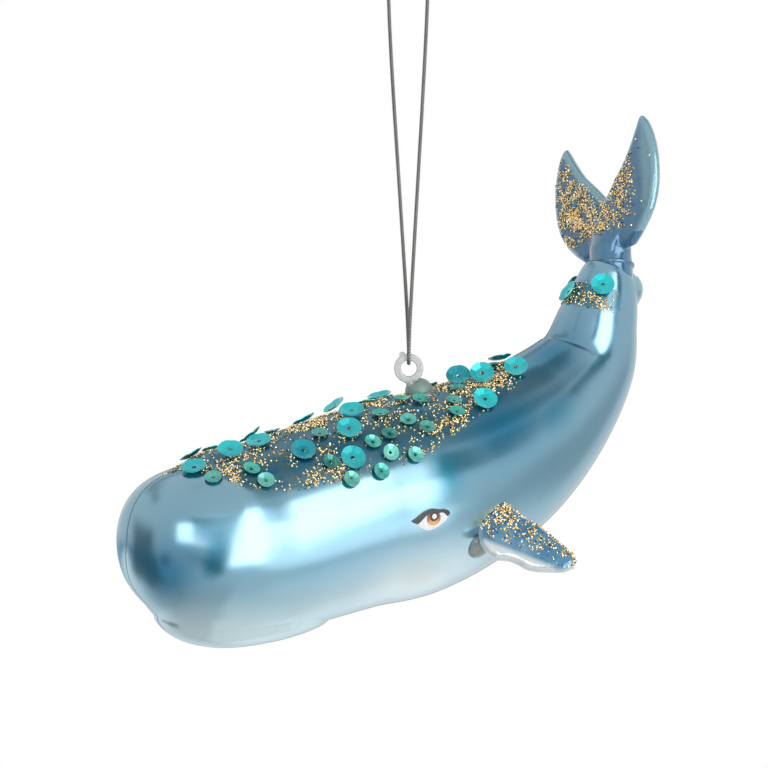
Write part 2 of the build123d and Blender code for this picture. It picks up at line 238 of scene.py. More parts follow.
def makePearlGlass():
    # blue lacquer under a neutral pearly coat: paint, tint and painted reflections, dark and pale, are laid
    # along the body
    t = Tree("pearlGlass").set(Metallic=pearlSet["metal"], Roughness=0.22, IOR=1.5, Coat_Weight=1.0)
    t.set(Coat_IOR=pearlSet["coatIndex"], Coat_Roughness=pearlSet["coatRough"])
    t.set(Specular_Tint=linear(pearlSet["edgeTint"]))
    # the tint attribute also holds painted reflections: dark patches and pale highlights on the lacquer
    tint = t.attribute("tint", "Color")
    for size, detail, strength, tone in pearlSet["flecks"]:
        tint = t.mix(t.span(t.noise(size, detail, 0.6), 0.35, 0.7, 0.0, strength), tint, linear(tone))
    # fine mould line over the nose, in the middle plane: its dark tone and thinner coat are painted shade
    # along the ridge
    place = t.add("ShaderNodeSeparateXYZ")
    t.link(t.coords(), place.inputs[0])
    aside = t.math("ABSOLUTE", place.outputs["Y"])
    ahead = t.span(place.outputs["X"], *pearlSet["seamFrom"])
    seam = t.math("MULTIPLY", t.span(aside, *pearlSet["seamWide"]), ahead)
    tint = t.mix(t.math("MULTIPLY", seam, 0.75), tint, linear(pearlSet["seamPaintedShade"]))
    # dark blue wash under the glitter, with a broken edge
    ragged = t.math("MULTIPLY", t.math("SUBTRACT", t.noise(4 * mm, 5, 0.65), 0.5), pearlSet["washRagged"])
    mask = t.span(t.math("ADD", t.attribute("patch"), ragged), *pearlSet["washEdge"])
    wash = t.ramp(t.noise(6 * mm, 5, 0.6), [(at, linear(tone)) for at, tone in pearlSet["washTones"]])
    t.color(t.mix(t.math("MULTIPLY", mask, pearlSet["washCover"]), tint, wash))
    dull = t.math("MULTIPLY", mask, pearlSet["washDull"])
    t.rough(t.math("ADD", t.span(t.noise(6 * mm, 3), 0.3, 0.7, 0.20, 0.25), dull))
    coat = t.math("MULTIPLY", t.without(mask, 0.72), t.without(seam, 0.6))
    # the deep attribute takes the coat away: painted dark reflections
    coat = t.math("MULTIPLY", coat, t.without(t.attribute("deep"), 1.0))
    t.link(coat, t.shader.inputs["Coat Weight"])
    height = t.math("ADD", t.noise(11 * mm, 2, 0.4), t.math("MULTIPLY", t.noise(0.4 * mm, 2), 0.035))
    height = t.math("ADD", height, t.math("MULTIPLY", seam, 0.25))
    t.bump(height, 0.5 * mm, 0.25)
    return t.mat


def makeSlateGlass(name, inner, rim, deep):
    # clear pressed glass with lacquer behind: the rim stays bare
    t = Tree(name).set(Metallic=0.25, Roughness=0.16, IOR=1.5, Coat_Weight=0.6, Coat_Roughness=0.06)
    pale = [0.8 * a + 0.2 * b for a, b in zip(inner, rim)]
    body = t.ramp(t.noise(5 * mm, 4, 0.6), [(0.3, deep), (0.5, inner), (0.72, pale)])
    bare = t.span(t.attribute("bare"), 0.35, 0.75)
    t.color(t.mix(bare, body, rim))
    t.rough(t.span(t.noise(2 * mm), 0.3, 0.7, 0.1, 0.24))
    t.bump(t.noise(3.5 * mm, 3), 0.4 * mm, 0.35)
    return t.mat


def makeClear(name, tint, rough, through, bumpSize=2.5 * mm, bumpDepth=0.2 * mm):
    t = Tree(name).set(Roughness=rough, IOR=1.46, Transmission_Weight=through)
    t.color(t.mix(t.span(t.noise(1.6 * mm, 3), 0.3, 0.8, 0, 0.35), tint, [0.8 * c for c in tint]))
    t.bump(t.noise(bumpSize, 3), bumpDepth, 0.4)
    return t.mat


def makeFoil(name, light, deep, paintedGlint):
    # metallised plastic: each sequin has its own shade; painted shade darkens its dips, and pale flecks on it
    # are painted glints
    t = Tree(name).set(Metallic=0.3, Roughness=0.26, IOR=1.4, Coat_Weight=0.3, Coat_Roughness=0.1)
    t.set(Specular_Tint=linear("#E4FBFA"))
    between = [0.5 * (a + b) for a, b in zip(light, paintedGlint)]
    shade = t.ramp(t.attribute("shade"), [(0.0, light), (0.55, between), (1.0, deep)])
    # painted shade in the cup's hollow, darkest at the hole
    dip = t.span(t.attribute("dip"), 0.0, 1.0)
    shade = t.mix(t.math("MULTIPLY", dip, 0.4), shade, deep)
    # pale flecks of painted glint
    shade = t.mix(t.span(t.noise(0.8 * mm, 3), 0.45, 0.8, 0, 0.25), shade, paintedGlint)
    t.color(shade)
    t.rough(t.span(t.noise(0.5 * mm), 0.3, 0.7, 0.14, 0.3))
    t.bump(t.noise(0.6 * mm, 2), 0.05 * mm, 0.3)
    return t.mat


def makeGold():
    t = Tree("goldBead").set(Metallic=0.9, Roughness=0.22, IOR=1.5)
    # the darkest beads are painted shade between the beads, the palest are painted glints
    tones = [(0.0, "#17110A"), (0.16, "#2E2010"), (0.22, "#DDA544"), (0.5, "#F3CC78"), (0.85, "#FFF0C8")]
    shade = t.ramp(t.attribute("shade"), [(at, linear(tone)) for at, tone in tones])
    # pale noise flecks are painted glints
    t.color(t.mix(t.span(t.noise(0.3 * mm), 0.4, 0.7, 0, 0.3), shade, linear("#FFF3D6")))
    t.rough(t.span(t.noise(0.5 * mm), 0.3, 0.7, 0.15, 0.32))
    return t.mat


def makeBraid():
    t = Tree("silverBraid").set(Metallic=0.65, Roughness=0.42, IOR=1.5, Sheen_Weight=0.2)
    tones = [(0.0, "#3E3D3C"), (0.45, "#7C7A76"), (1.0, "#BDBBB5")]
    shade = t.ramp(t.attribute("shade"), [(at, linear(tone)) for at, tone in tones])
    t.color(t.mix(t.span(t.noise(0.18 * mm, 2), 0.35, 0.7), shade, linear("#54524F")))
    t.rough(t.span(t.noise(0.2 * mm), 0.3, 0.7, 0.34, 0.55))
    t.bump(t.noise(0.12 * mm, 2), 0.03 * mm, 0.5)
    return t.mat


def makeEnamel(name, flat, other, size=0.8 * mm):
    t = Tree(name).set(Roughness=0.22, IOR=1.5, Coat_Weight=0.3, Coat_Roughness=0.08)
    t.color(t.mix(t.span(t.noise(size, 4), 0.35, 0.7), flat, other))
    t.rough(t.span(t.noise(size), 0.3, 0.7, 0.16, 0.3))
    t.bump(t.noise(0.5 * mm, 2), 0.03 * mm, 0.3)
    return t.mat


def makeIris():
    # amber, darker at its edge: rings are laid about the middle of each iris
    t = Tree("irisEnamel").set(Roughness=0.2, IOR=1.5, Coat_Weight=0.4, Coat_Roughness=0.06)
    irisDrop = 0.4 * mm  # the rings' middle lies this much below a circle's
    low, high = (Vector(c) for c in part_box("left_eye_iris"))
    apart = t.add("ShaderNodeSeparateXYZ")
    t.link(t.coords(), apart.inputs[0])
    across = t.math("SUBTRACT", apart.outputs["X"], (low.x + high.x) / 2)
    up = t.math("SUBTRACT", apart.outputs["Z"], high.z - (high.x - low.x) / 2 - irisDrop)
    far = t.math("SQRT", t.math("ADD", t.math("MULTIPLY", across, across), t.math("MULTIPLY", up, up)))
    wavy = t.math("ADD", far, t.math("MULTIPLY", t.math("SUBTRACT", t.noise(0.5 * mm), 0.5), 0.5 * mm))
    tones = [(0.0, "#E8A766"), (0.5, "#CC7A3E"), (1.0, "#9A4E22")]
    t.color(t.ramp(t.span(wavy, 0.9 * mm, 1.9 * mm), [(at, linear(tone)) for at, tone in tones]))
    return t.mat


def makeFloorMat():
    t = Tree("paleFloor").set(Roughness=0.85, Specular_IOR_Level=0.2)
    t.color(t.mix(t.span(t.noise(0.3, 2), 0.3, 0.7), [0.86, 0.86, 0.86], [0.9, 0.9, 0.9]))
    return t.mat


def wear(piece, mat):
    piece.data.materials.clear()
    piece.data.materials.append(mat)
    piece.data.polygons.foreach_set("material_index", [0] * len(piece.data.polygons))


makeCamera()
mats = {
    "pearl": makePearlGlass(),
    "fluke": makeSlateGlass("flukeGlass", linear("#44799B"), linear("#7FAAB9"), linear("#2F6A93")),
    "flipper": makeSlateGlass("flipperGlass", linear("#3F86AC"), linear("#D3DBDE"), linear("#27658C")),
    "glue": makeClear("clearGlue", linear("#C6D0CC"), 0.14, 0.7),
    "cap": makeClear("frostedCap", linear("#9DBDB6"), 0.42, 0.35, 1.2 * mm, 0.1 * mm),
    "ring": makeClear("clearRing", linear("#E6E8E6"), 0.24, 0.45, 4 * mm, 0.02 * mm),
    "large": makeFoil("turquoiseFoil", linear("#08C6CC"), linear("#0592A0"), linear("#4FE6E6")),
    "small": makeFoil("greenFoil", linear("#10AC9F"), linear("#05756D"), linear("#A6F5E6")),
    "gold": makeGold(),
    "braid": makeBraid(),
    "white": makeEnamel("whiteEnamel", linear("#F2F4F4"), linear("#DDE3E5")),
    "black": makeEnamel("blackEnamel", linear("#0C0C0E"), linear("#1B1A1C")),
    "glint": makeEnamel("glintEnamel", linear("#FFFFFF"), linear("#F0F2F2")),
    "iris": makeIris(),
}
print("materials ready")

# ---- cord and knot ----
cordSet = {
    "across": 1 * mm, "strands": 3, "step": 0.75 * mm, "strand": 0.2 * mm, "weave": 0.06 * mm, "sides": 5,
    "turnSteps": 14, "ringTurn": 32,
    # points of the loop: across the ring's plane, towards the viewer, up from the hanging point
    "route": [
        (-1.288, 0, 0.8), (-3.864, 0, -0.408), (-5.6, 0, -3.4), (-0.55, -0.6, -79.5), (0, -1.55, -92.0),
        (0, -1.55, -95.75), (0, 1.55, -95.75), (0, 1.55, -92.0), (0.55, 0.6, -79.5), (4.928, 0, -3.4),
        (3.864, 0, -0.408), (1.288, 0, 0.8)],
    "length": 199 * mm,
}
knotSet = {
    "radius": 1.25 * mm, "height": 3.6 * mm, "wraps": 2.5, "steps": 10, "cord": 0.45 * mm,
    "tail": 5 * mm, "tailShares": (0, 0.3, 0.6, 1.25), "tailAcross": 0.95, "lean": 24,
}
ringTurn = math.radians(cordSet["ringTurn"])
ringAcross = Vector((math.cos(ringTurn), -math.sin(ringTurn), 0))
ringNear = ringAcross.cross(Vector((0, 0, 1)))


def inRing(across, near, up):
    return (ringAcross * across + ringNear * near + Vector((0, 0, up))) * mm


def smoothLine(name, points, order=3, closeness=24):
    # the points of a NURBS line drawn through control points
    curve = bpy.data.curves.new(name, "CURVE")
    curve.dimensions = "3D"
    spline = curve.splines.new("NURBS")
    spline.points.add(len(points) - 1)
    for slot, point in zip(spline.points, points):
        slot.co = (*point, 1)
    spline.order_u = order
    spline.use_endpoint_u = True
    spline.resolution_u = closeness
    holder = bpy.data.objects.new(name, curve)
    bpy.context.scene.collection.objects.link(holder)
    line = bpy.data.meshes.new_from_object(holder)
    found = [v.co.copy() for v in line.vertices]
    bpy.data.objects.remove(holder)
    bpy.data.meshes.remove(line)
    return found


def evenLine(points, step):
    spots = np.array([tuple(p) for p in points])
    gone = np.r_[0, np.cumsum(np.linalg.norm(np.diff(spots, axis=0), axis=1))]
    wanted = np.linspace(0, gone[-1], max(int(gone[-1] / step), 8))
    return np.stack([np.interp(wanted, gone, spots[:, k]) for k in range(3)], 1), wanted


def carriedFrames(spots):
    # directions square to a line, carried along it without twisting
    along = np.gradient(spots, axis=0)
    along /= np.linalg.norm(along, axis=1)[:, None]
    side = np.cross(along[0], (0.31, 0.2, 0.93))
    sides = []
    for way in along:
        side = side - way * side.dot(way)
        side /= np.linalg.norm(side)
        sides.append(side)
    sides = np.array(sides)
    return along, sides, np.cross(along, sides)


def tubeAround(line, radius, sides, verts, faces, shades, shade):
    _, a, b = carriedFrames(line)
    first = len(verts)
    for spot, u, v in zip(line, a, b):
        for k in range(sides):
            turn = math.tau * k / sides
            verts.append(spot + (u * math.cos(turn) + v * math.sin(turn)) * radius)
            shades.append(shade)
    last = first + (len(line) - 1) * sides
    faces += bandFaces(first, len(line), sides)
    faces.append([first + k for k in reversed(range(sides))])
    faces.append([last + k for k in range(sides)])


def braidAlong(name, points, across):
    # three strands wind each way and pass over and under each other
    scale, strands = across / cordSet["across"], cordSet["strands"]
    strand = cordSet["strand"] * scale
    turnLength = cordSet["step"] * cordSet["strands"] * scale
    spots, gone = evenLine(points, turnLength / cordSet["turnSteps"])
    _, a, b = carriedFrames(spots)
    middle = across / 2 - strand
    verts, faces, shades = [], [], []
    for way, shade in ((1, 0.75), (-1, 0.25)):
        for k in range(strands):
            start = math.tau * k / strands
            turn = way * math.tau * gone / turnLength + start
            dip = 0.5 - 0.5 * way * np.cos(strands * math.tau * gone / turnLength)
            out = middle - cordSet["weave"] * scale * dip
            line = spots + (a * np.cos(turn)[:, None] + b * np.sin(turn)[:, None]) * out[:, None]
            tubeAround(line, strand, cordSet["sides"], verts, faces, shades, shade)
    # the core's dark tone is painted shade: it shows between the strands where shade falls
    tubeAround(spots, middle * 0.8, 6, verts, faces, shades, 0.0)  # dark core, seen between the strands
    piece = newPiece(name, verts, faces)
    setFloat(piece, "shade", shades)
    wear(piece, mats["braid"])
    return piece


def makeCord():
    line = smoothLine("cordLine", [inRing(*p) for p in cordSet["route"]])
    cord = braidAlong("cordBraid", line, cordSet["across"])
    dress(cord, "cord", "hanging_cord")
    wraps = []
    steps = knotSet["steps"]
    count = int(knotSet["wraps"] * steps)
    for i in range(count + 1):
        turn = math.tau * i / steps
        risen = 0.5 - 0.5 * math.cos(math.pi * i / count)
        up = knotSet["cord"] + (knotSet["height"] - 2 * knotSet["cord"]) * risen
        reach = knotSet["radius"] * (0.8 + 0.2 * math.sin(math.pi * i / count))
        wraps.append(Vector((math.cos(turn) * reach, math.sin(turn) * reach, up)))
    lean = math.radians(knotSet["lean"])
    tails = []
    for side in (1, -1):
        tip = Vector((side * math.sin(lean), 0, math.cos(lean)))
        root = Vector((0, 0, knotSet["height"] / 2))
        tails.append([root + tip * knotSet["tail"] * share for share in knotSet["tailShares"]])
    wrapLine = smoothLine("wrapLine", wraps, closeness=steps)
    parts = [braidAlong("wrap", wrapLine, 2 * knotSet["cord"])]
    tailAcross = knotSet["tailAcross"] * cordSet["across"]
    for points in tails:
        parts.append(braidAlong("tail", smoothLine("tailLine", points), tailAcross))
    knot = joinPieces("cordKnot", parts)
    dress(knot, "knot", "cord_knot")


def joinPieces(name, parts):
    # one mesh from several, with their attributes kept
    whole = parts[0]
    with bpy.context.temp_override(active_object=whole, selected_editable_objects=parts, object=whole):
        bpy.ops.object.join()
    whole.name = whole.data.name = name
    return whole


makeCord()
print("cord ready")

# ---- the whale's skin ----
skinSet = {
    "length": 136.6, "depth": 50, "widthShare": 0.94, "taper": 0.07, "ahead": 77.1, "below": 36.2, "drop": 97,
    "noseRound": 26, "nosePower": 2.5, "rings": 230, "around": 160,
    # rings lie closer together at the nose, and more are added on the stock
    "firstRing": 0.0007, "crowding": 0.35, "crowdPower": 2.2, "stockFrom": 0.93, "stockRings": 24,
    # level place, height, half depth as shares of length, length and depth
    "stations": [
        (0.000, 0.000, 0.380), (0.067, -0.006, 0.385), (0.152, -0.020, 0.440), (0.252, -0.018, 0.457),
        (0.351, -0.001, 0.471), (0.453, 0.018, 0.484), (0.558, 0.032, 0.496), (0.669, 0.060, 0.469),
        (0.783, 0.108, 0.418), (0.885, 0.175, 0.341), (0.959, 0.252, 0.266), (0.988, 0.334, 0.211),
        (1.004, 0.389, 0.173), (1.011, 0.419, 0.142), (1.016, 0.434, 0.117)],
    "jaw": {"share": 0.178, "longShare": 0.112, "wide": 36, "show": 2.0},
    "heel": {"share": 0.974, "radius": 5.4, "show": 2.5, "blend": 0.8 * mm},
}
table = np.array(skinSet["stations"])
stationX = (-skinSet["ahead"] + table[:, 0] * skinSet["length"]) * mm
stationZ = (-skinSet["drop"] - skinSet["below"] + table[:, 1] * skinSet["length"]) * mm
stationR = table[:, 2] * skinSet["depth"] * mm
stationAt = np.r_[0, np.cumsum(np.hypot(np.diff(stationX), np.diff(stationZ)))]
lineLength = stationAt[-1]


def smoothAt(values, at):
    last = len(stationAt) - 1
    here = np.clip(np.searchsorted(stationAt, at, side="right") - 1, 0, last - 1)
    low, high = np.maximum(np.arange(last + 1) - 1, 0), np.minimum(np.arange(last + 1) + 1, last)
    slope = (values[high] - values[low]) / (stationAt[high] - stationAt[low])
    gap = stationAt[here + 1] - stationAt[here]
    u = (at - stationAt[here]) / gap
    rise = 3 * u**2 - 2 * u**3
    pull = (u**3 - 2 * u**2 + u) * gap * slope[here] + (u**3 - u**2) * gap * slope[here + 1]
    return (1 - rise) * values[here] + rise * values[here + 1] + pull


def skinPoints(share, degrees):
    # points of the skin for shares of the body's line and degrees from the back, left side positive
    at = np.clip(np.asarray(share, float), 0.0005, 1) * lineLength
    turn = np.radians(np.asarray(degrees, float))
    probe = lineLength / 1000
    x, z = smoothAt(stationX, at), smoothAt(stationZ, at)
    dx = smoothAt(stationX, at + probe) - smoothAt(stationX, at - probe)
    dz = smoothAt(stationZ, at + probe) - smoothAt(stationZ, at - probe)
    size = np.hypot(dx, dz)
    power, reach = skinSet["nosePower"], smoothAt(stationR, at)
    ahead = 1 - np.clip(at / (skinSet["noseRound"] * mm), 0, 1)
    rounding = (1 - ahead ** power) ** (1 / power)
    up = reach * rounding * np.cos(turn)
    out = reach * skinSet["widthShare"] * rounding * np.sin(turn) * (1 + skinSet["taper"] * np.cos(turn))
    return np.stack([x - dz / size * up, -out, z + dx / size * up], -1)


def skinNormals(share, degrees):
    share, degrees = np.asarray(share, float), np.asarray(degrees, float)
    a = skinPoints(share + 0.002, degrees) - skinPoints(share - 0.002, degrees)
    b = skinPoints(share, degrees + 1) - skinPoints(share, degrees - 1)
    n = np.cross(b, a)
    n /= np.linalg.norm(n, axis=-1)[..., None]
    inward = skinPoints(share, 0 * degrees) + skinPoints(share, 0 * degrees + 180)
    outward = ((skinPoints(share, degrees) - inward / 2) * n).sum(-1)
    return n * np.sign(outward)[..., None]


def fromBack(degrees):
    # degrees from the back, the same on both sides
    return np.abs((np.asarray(degrees) + 180) % 360 - 180)


# where glitter lies: lower edge as share and degrees from the back, and a spot on the stock as
# middle, half reach and softness along the body, then round it
patchSet = {
    "edge": [
        (0.045, 0), (0.061, 6), (0.087, 30), (0.139, 46), (0.199, 52), (0.253, 54), (0.305, 57),
        (0.353, 59), (0.406, 58), (0.472, 49), (0.548, 44), (0.628, 37), (0.682, 32), (0.72, 22),
        (0.745, 8), (0.76, 0)],
    "outside": -20, "soft": 16, "stock": (0.945, 0.022, 0.02), "stockTurn": (25, 62, 40), "stockShow": 0.8,
}


def patchMask(share, degrees):
    # 1 well inside the glitter's patch, 0 well outside, a half on its edge
    turn, outside = fromBack(degrees), patchSet["outside"]
    places, widths = zip(*patchSet["edge"])
    edge = np.interp(share, places, widths, left=outside, right=outside)
    back = np.clip(0.5 + (edge - turn) / patchSet["soft"], 0, 1)
    at, half, soft = patchSet["stock"]
    stock = np.clip(0.5 + (half - np.abs(share - at)) / soft, 0, 1)
    way, half, soft = patchSet["stockTurn"]
    stock = stock * np.clip(0.5 + (half - np.abs(turn - way)) / soft, 0, 1) * patchSet["stockShow"]
    return np.maximum(back, stock)


# the lacquer's tint runs from back to side to belly, and into the tail's tones behind the rear share
tintBase = {
    "back": "#338AA3", "side": "#358EA9", "belly": "#B4D0D4", "tail": "#2F86A4", "tailBelly": "#6FA3B2",
    "rear": 0.55, "rearReach": 0.3, "low": 60, "lowReach": 100,
}
# soft areas of painted reflection on it, dark patches and pale highlights: share, degrees, reach in share,
# reach in degrees, colour, strength
paintedReflectionAreas = [
    (0.03, 118, 0.06, 55, "#0E6A90", 0.9),
    (0.62, 60, 0.09, 24, "#1C7FA6", 0.7),
    (0.80, 20, 0.12, 35, "#1B6F92", 0.7),
    (0.30, 100, 0.09, 18, "#3A97BC", 0.5),
    (0.42, 135, 0.13, 24, "#DCE3DF", 0.85),
    (0.17, 150, 0.12, 26, "#B4CDD2", 0.7),
    (0.57, 50, 0.09, 16, "#0E7FA8", 0.8),
    (0.55, 120, 0.10, 25, "#4FA0C0", 0.5),
]


def tintWithPaintedReflections(share, degrees):
    turn = fromBack(degrees)
    low = np.clip((turn - tintBase["low"]) / tintBase["lowReach"], 0, 1)[:, None]
    rear = np.clip((share - tintBase["rear"]) / tintBase["rearReach"], 0, 1)[:, None]
    tones = {key: np.array(linear(value)) for key, value in tintBase.items() if isinstance(value, str)}
    back = tones["back"] * (1 - rear) + tones["tail"] * rear
    flank = tones["side"] * (1 - rear) + tones["tail"] * rear
    belly = tones["belly"] * (1 - rear) + tones["tailBelly"] * rear
    upper = back * (1 - 2 * low) + flank * 2 * low
    under = flank * (2 - 2 * low) + belly * (2 * low - 1)
    color = np.where(low < 0.5, upper, under)
    # each soft area paints a reflection, dark or pale, over the lacquer's tint
    for at, way, longReach, wideReach, tone, strength in paintedReflectionAreas:
        weight = strength * softSpot(share, turn, at, way, longReach, wideReach)[:, None]
        color = color * (1 - weight) + np.array(linear(tone)) * weight
    return color


# painted dark reflections, where the pearly coat is taken away: share, degrees, reach in share, reach in
# degrees, strength
paintedDarkReflectionAreas = [
    (0.03, 125, 0.05, 42, 0.95), (0.60, 52, 0.10, 20, 0.85), (0.70, 66, 0.05, 12, 0.7),
    (0.80, 22, 0.10, 26, 0.75), (0.46, 67, 0.025, 13, 0.9), (0.375, 46, 0.03, 7, 0.7),
    (0.08, 96, 0.014, 16, 0.8)]


def paintedDarkReflectionMask(share, degrees):
    turn = fromBack(degrees)
    mask = 0 * share
    for at, way, longReach, wideReach, strength in paintedDarkReflectionAreas:
        mask = np.maximum(mask, strength * softSpot(share, turn, at, way, longReach, wideReach))
    return mask


def makeBody():
    rings, around = skinSet["rings"], skinSet["around"]
    u = np.linspace(0, 1, rings)
    start, crowding = skinSet["firstRing"], skinSet["crowding"]
    shares = start + (1 - start) * (crowding * u ** skinSet["crowdPower"] + (1 - crowding) * u)
    stock = np.linspace(skinSet["stockFrom"], 1, skinSet["stockRings"] + 2)[1:-1]
    shares = np.sort(np.r_[shares, stock])
    rings = len(shares)
    turns = np.arange(around) * 360 / around
    share, turn = (g.ravel() for g in np.meshgrid(shares, turns, indexing="ij"))
    spots, ways = skinPoints(share, turn), skinNormals(share, turn)
    jaw, heel = skinSet["jaw"], skinSet["heel"]
    far = ((share - jaw["share"]) / jaw["longShare"]) ** 2 + ((180 - fromBack(turn)) / jaw["wide"]) ** 2
    lift = jaw["show"] * mm * np.sqrt(np.clip(1 - far, 0, 1))
    centre = skinPoints(np.array([heel["share"]]), np.array([180.0]))[0]
    off = np.linalg.norm(spots - centre, axis=1)
    ball = np.sqrt(np.clip((heel["radius"] * mm) ** 2 - off**2, 0, None))
    ball = ball - (heel["radius"] - heel["show"]) * mm
    swell = heel["blend"] * np.log1p(np.exp(np.clip(ball / heel["blend"], -30, 30)))
    lift += swell * (off < heel["radius"] * mm * 1.3)
    spots = spots + ways * lift[:, None]
    verts = list(spots)
    faces = [(a, d, c, b) for a, b, c, d in bandFaces(0, rings, around)]
    nose, tail = len(verts), len(verts) + 1
    verts += [spots[:around].mean(0), spots[-around:].mean(0)]
    last = (rings - 1) * around
    for k in range(around):
        n = (k + 1) % around
        faces.append([nose, k, n])
        faces.append([tail, last + n, last + k])
    piece = newPiece("glassBody", verts, faces)
    share, turn = np.r_[share, 0.0, 1.0], np.r_[turn, 90.0, 90.0]
    setFloat(piece, "patch", patchMask(share, turn))
    # the tint holds the lacquer's colour with painted reflections laid over it
    setColor(piece, "tint", tintWithPaintedReflections(share, turn))
    # deep holds the painted dark reflections, where the coat goes
    setFloat(piece, "deep", paintedDarkReflectionMask(share, turn))
    wear(piece, mats["pearl"])
    faceOutwards(piece)
    dress(piece, "whale", "glass_body")


def faceOutwards(piece):
    mesh = bmesh.new()
    mesh.from_mesh(piece.data)
    bmesh.ops.recalc_face_normals(mesh, faces=mesh.faces)
    mesh.to_mesh(piece.data)
    mesh.free()


makeBody()
print("body ready")

# ---- flukes and flippers: rounded slabs, melted together ----
flukeSet = {
    "up": (0.165, 0.306, 0.937), "left": (0.09, -0.92, 0.38), "halfSpan": 20.4, "rise": 18.5,
    "root": 18.3, "thick": 2.9, "rim": 1.5, "neck": 5.5, "melt": 0.34, "cup": -0.25,
    "inner": [(0.0, 0.0), (0.20, 0.23), (0.42, 0.47), (0.58, 0.71), (0.745, 1.0)],
    "outer": [
        (0.745, 1.0), (0.875, 0.83), (0.975, 0.50), (1.0, 0.17), (0.965, -0.14), (0.85, -0.42),
        (0.66, -0.65), (0.46, -0.82)],
    # neck below the leaves: width and depth as shares of its radius, height as a share of the root
    "waist": [
        (1.0, 1.0, -1.2), (1.03, 1.03, -1.0), (1.0, 0.97, -0.88), (1.10, 0.90, -0.72), (1.30, 0.60, -0.5),
        (1.38, 0.42, -0.32), (1.2, 0.28, -0.2)],
    # bare glass: strength and reach at the rim, from this height up, and the end of the left leaf
    "bare": {"rim": 1.3, "reach": 2.2, "above": 6, "leafUp": (5, 6), "leafOut": (11.5, 5), "leafShow": 0.65},
}
flipperSet = {
    "share": 0.5155, "turn": 108.5, "proud": 2.2, "way": (13.9, -12.6, -6.8), "chord": (-0.59, -0.24, -0.77),
    "length": 25.0, "width": 14.0, "thick": 3.4, "rootShare": 0.17, "rim": 1.6, "melt": 0.34,
    # bare glass: strength and reach at the rim, then where the clear lower band starts and its softness
    "bare": {"rim": 1.1, "reach": 1.8, "show": 0.7, "band": (2.2, 3.0)},
    "outline": [
        (0.01, -0.21), (0.03, -0.43), (0.13, -0.54), (0.26, -0.51), (0.34, -0.43), (0.54, -0.38),
        (0.78, -0.22), (0.95, -0.11), (1.0, 0.06), (0.94, 0.24), (0.80, 0.36), (0.62, 0.46), (0.41, 0.44),
        (0.27, 0.50), (0.10, 0.38), (0.0, 0.08)],
}


def curvyOutline(points, closed=True, steps=10):
    # Catmull-Rom line through flat points
    pts = [np.array(p, float) for p in points]
    count = len(pts)
    found = []
    for i in range(count if closed else count - 1):
        if closed:
            a, b, c, d = (pts[(i + k) % count] for k in (-1, 0, 1, 2))
        else:
            a, b, c, d = (pts[min(max(i + k, 0), count - 1)] for k in (-1, 0, 1, 2))
        for q in np.linspace(0, 1, steps, endpoint=False):
            bend, twist = 2 * a - 5 * b + 4 * c - d, 3 * b - a - 3 * c + d
            found.append(0.5 * (2 * b + (c - a) * q + bend * q**2 + twist * q**3))
    if not closed:
        found.append(pts[-1])
    return np.array(found)


def slab(outline, thick, rim, grid=0.55):
    # a pillow over a flat outline, its rim rounded: flat points, then height of the upper side
    outline = resampled(outline, 0.45)
    low, high = outline.min(0), outline.max(0)
    xs, ys = np.meshgrid(np.arange(low[0], high[0], grid), np.arange(low[1], high[1], grid))
    xs = xs + (np.arange(xs.shape[0]) % 2)[:, None] * grid / 2
    inner = np.stack([xs.ravel(), ys.ravel()], 1)
    far = edgeDistance(inner, outline)
    inner = inner[far > 0.25]
    points = np.r_[outline, inner]
    count = len(outline)
    edges = [(i, (i + 1) % count) for i in range(count)]
    spots, _, tris, *_ = delaunay_2d_cdt([Vector(p) for p in points], edges, [], 1, 1e-5)
    flat = np.array([tuple(p) for p in spots])
    far = np.maximum(edgeDistance(flat, outline), 0)
    height = thick / 2 * np.sqrt(1 - (1 - np.minimum(far / rim, 1)) ** 2)
    height[far < 1e-4] = 0
    count = len(flat)
    verts = np.r_[np.c_[flat, height], np.c_[flat, -height]]
    faces = [tuple(t) for t in tris] + [tuple(count + i for i in reversed(t)) for t in tris]
    return verts, faces


def resampled(outline, step):
    ring = np.r_[outline, outline[:1]]
    gone = np.r_[0, np.cumsum(np.linalg.norm(np.diff(ring, axis=0), axis=1))]
    wanted = np.linspace(0, gone[-1], int(gone[-1] / step), endpoint=False)
    return np.stack([np.interp(wanted, gone, ring[:, k]) for k in range(2)], 1)


def edgeDistance(points, outline):
    # distance to a closed outline, positive inside
    a, b = outline, np.roll(outline, -1, axis=0)
    best = np.full(len(points), 1e9)
    inside = np.zeros(len(points), bool)
    for p, q in zip(a, b):
        way = q - p
        along = np.clip(((points - p) @ way) / (way @ way), 0, 1)
        best = np.minimum(best, np.linalg.norm(points - p - along[:, None] * way, axis=1))
        crosses = (p[1] > points[:, 1]) != (q[1] > points[:, 1])
        with np.errstate(divide="ignore", invalid="ignore"):
            at = p[0] + (points[:, 1] - p[1]) / (q[1] - p[1]) * way[0]
        inside ^= crosses & (points[:, 0] < at)
    return np.where(inside, best, -best)


def placed(origin, xWay, zWay, spots):
    # from a piece's own millimetres into the model
    z = Vector(zWay).normalized()
    x = Vector(xWay)
    x = (x - z * x.dot(z)).normalized()
    y = z.cross(x)
    basis = np.array([tuple(x), tuple(y), tuple(z)])
    return np.array(tuple(origin)) + spots * mm @ basis, basis


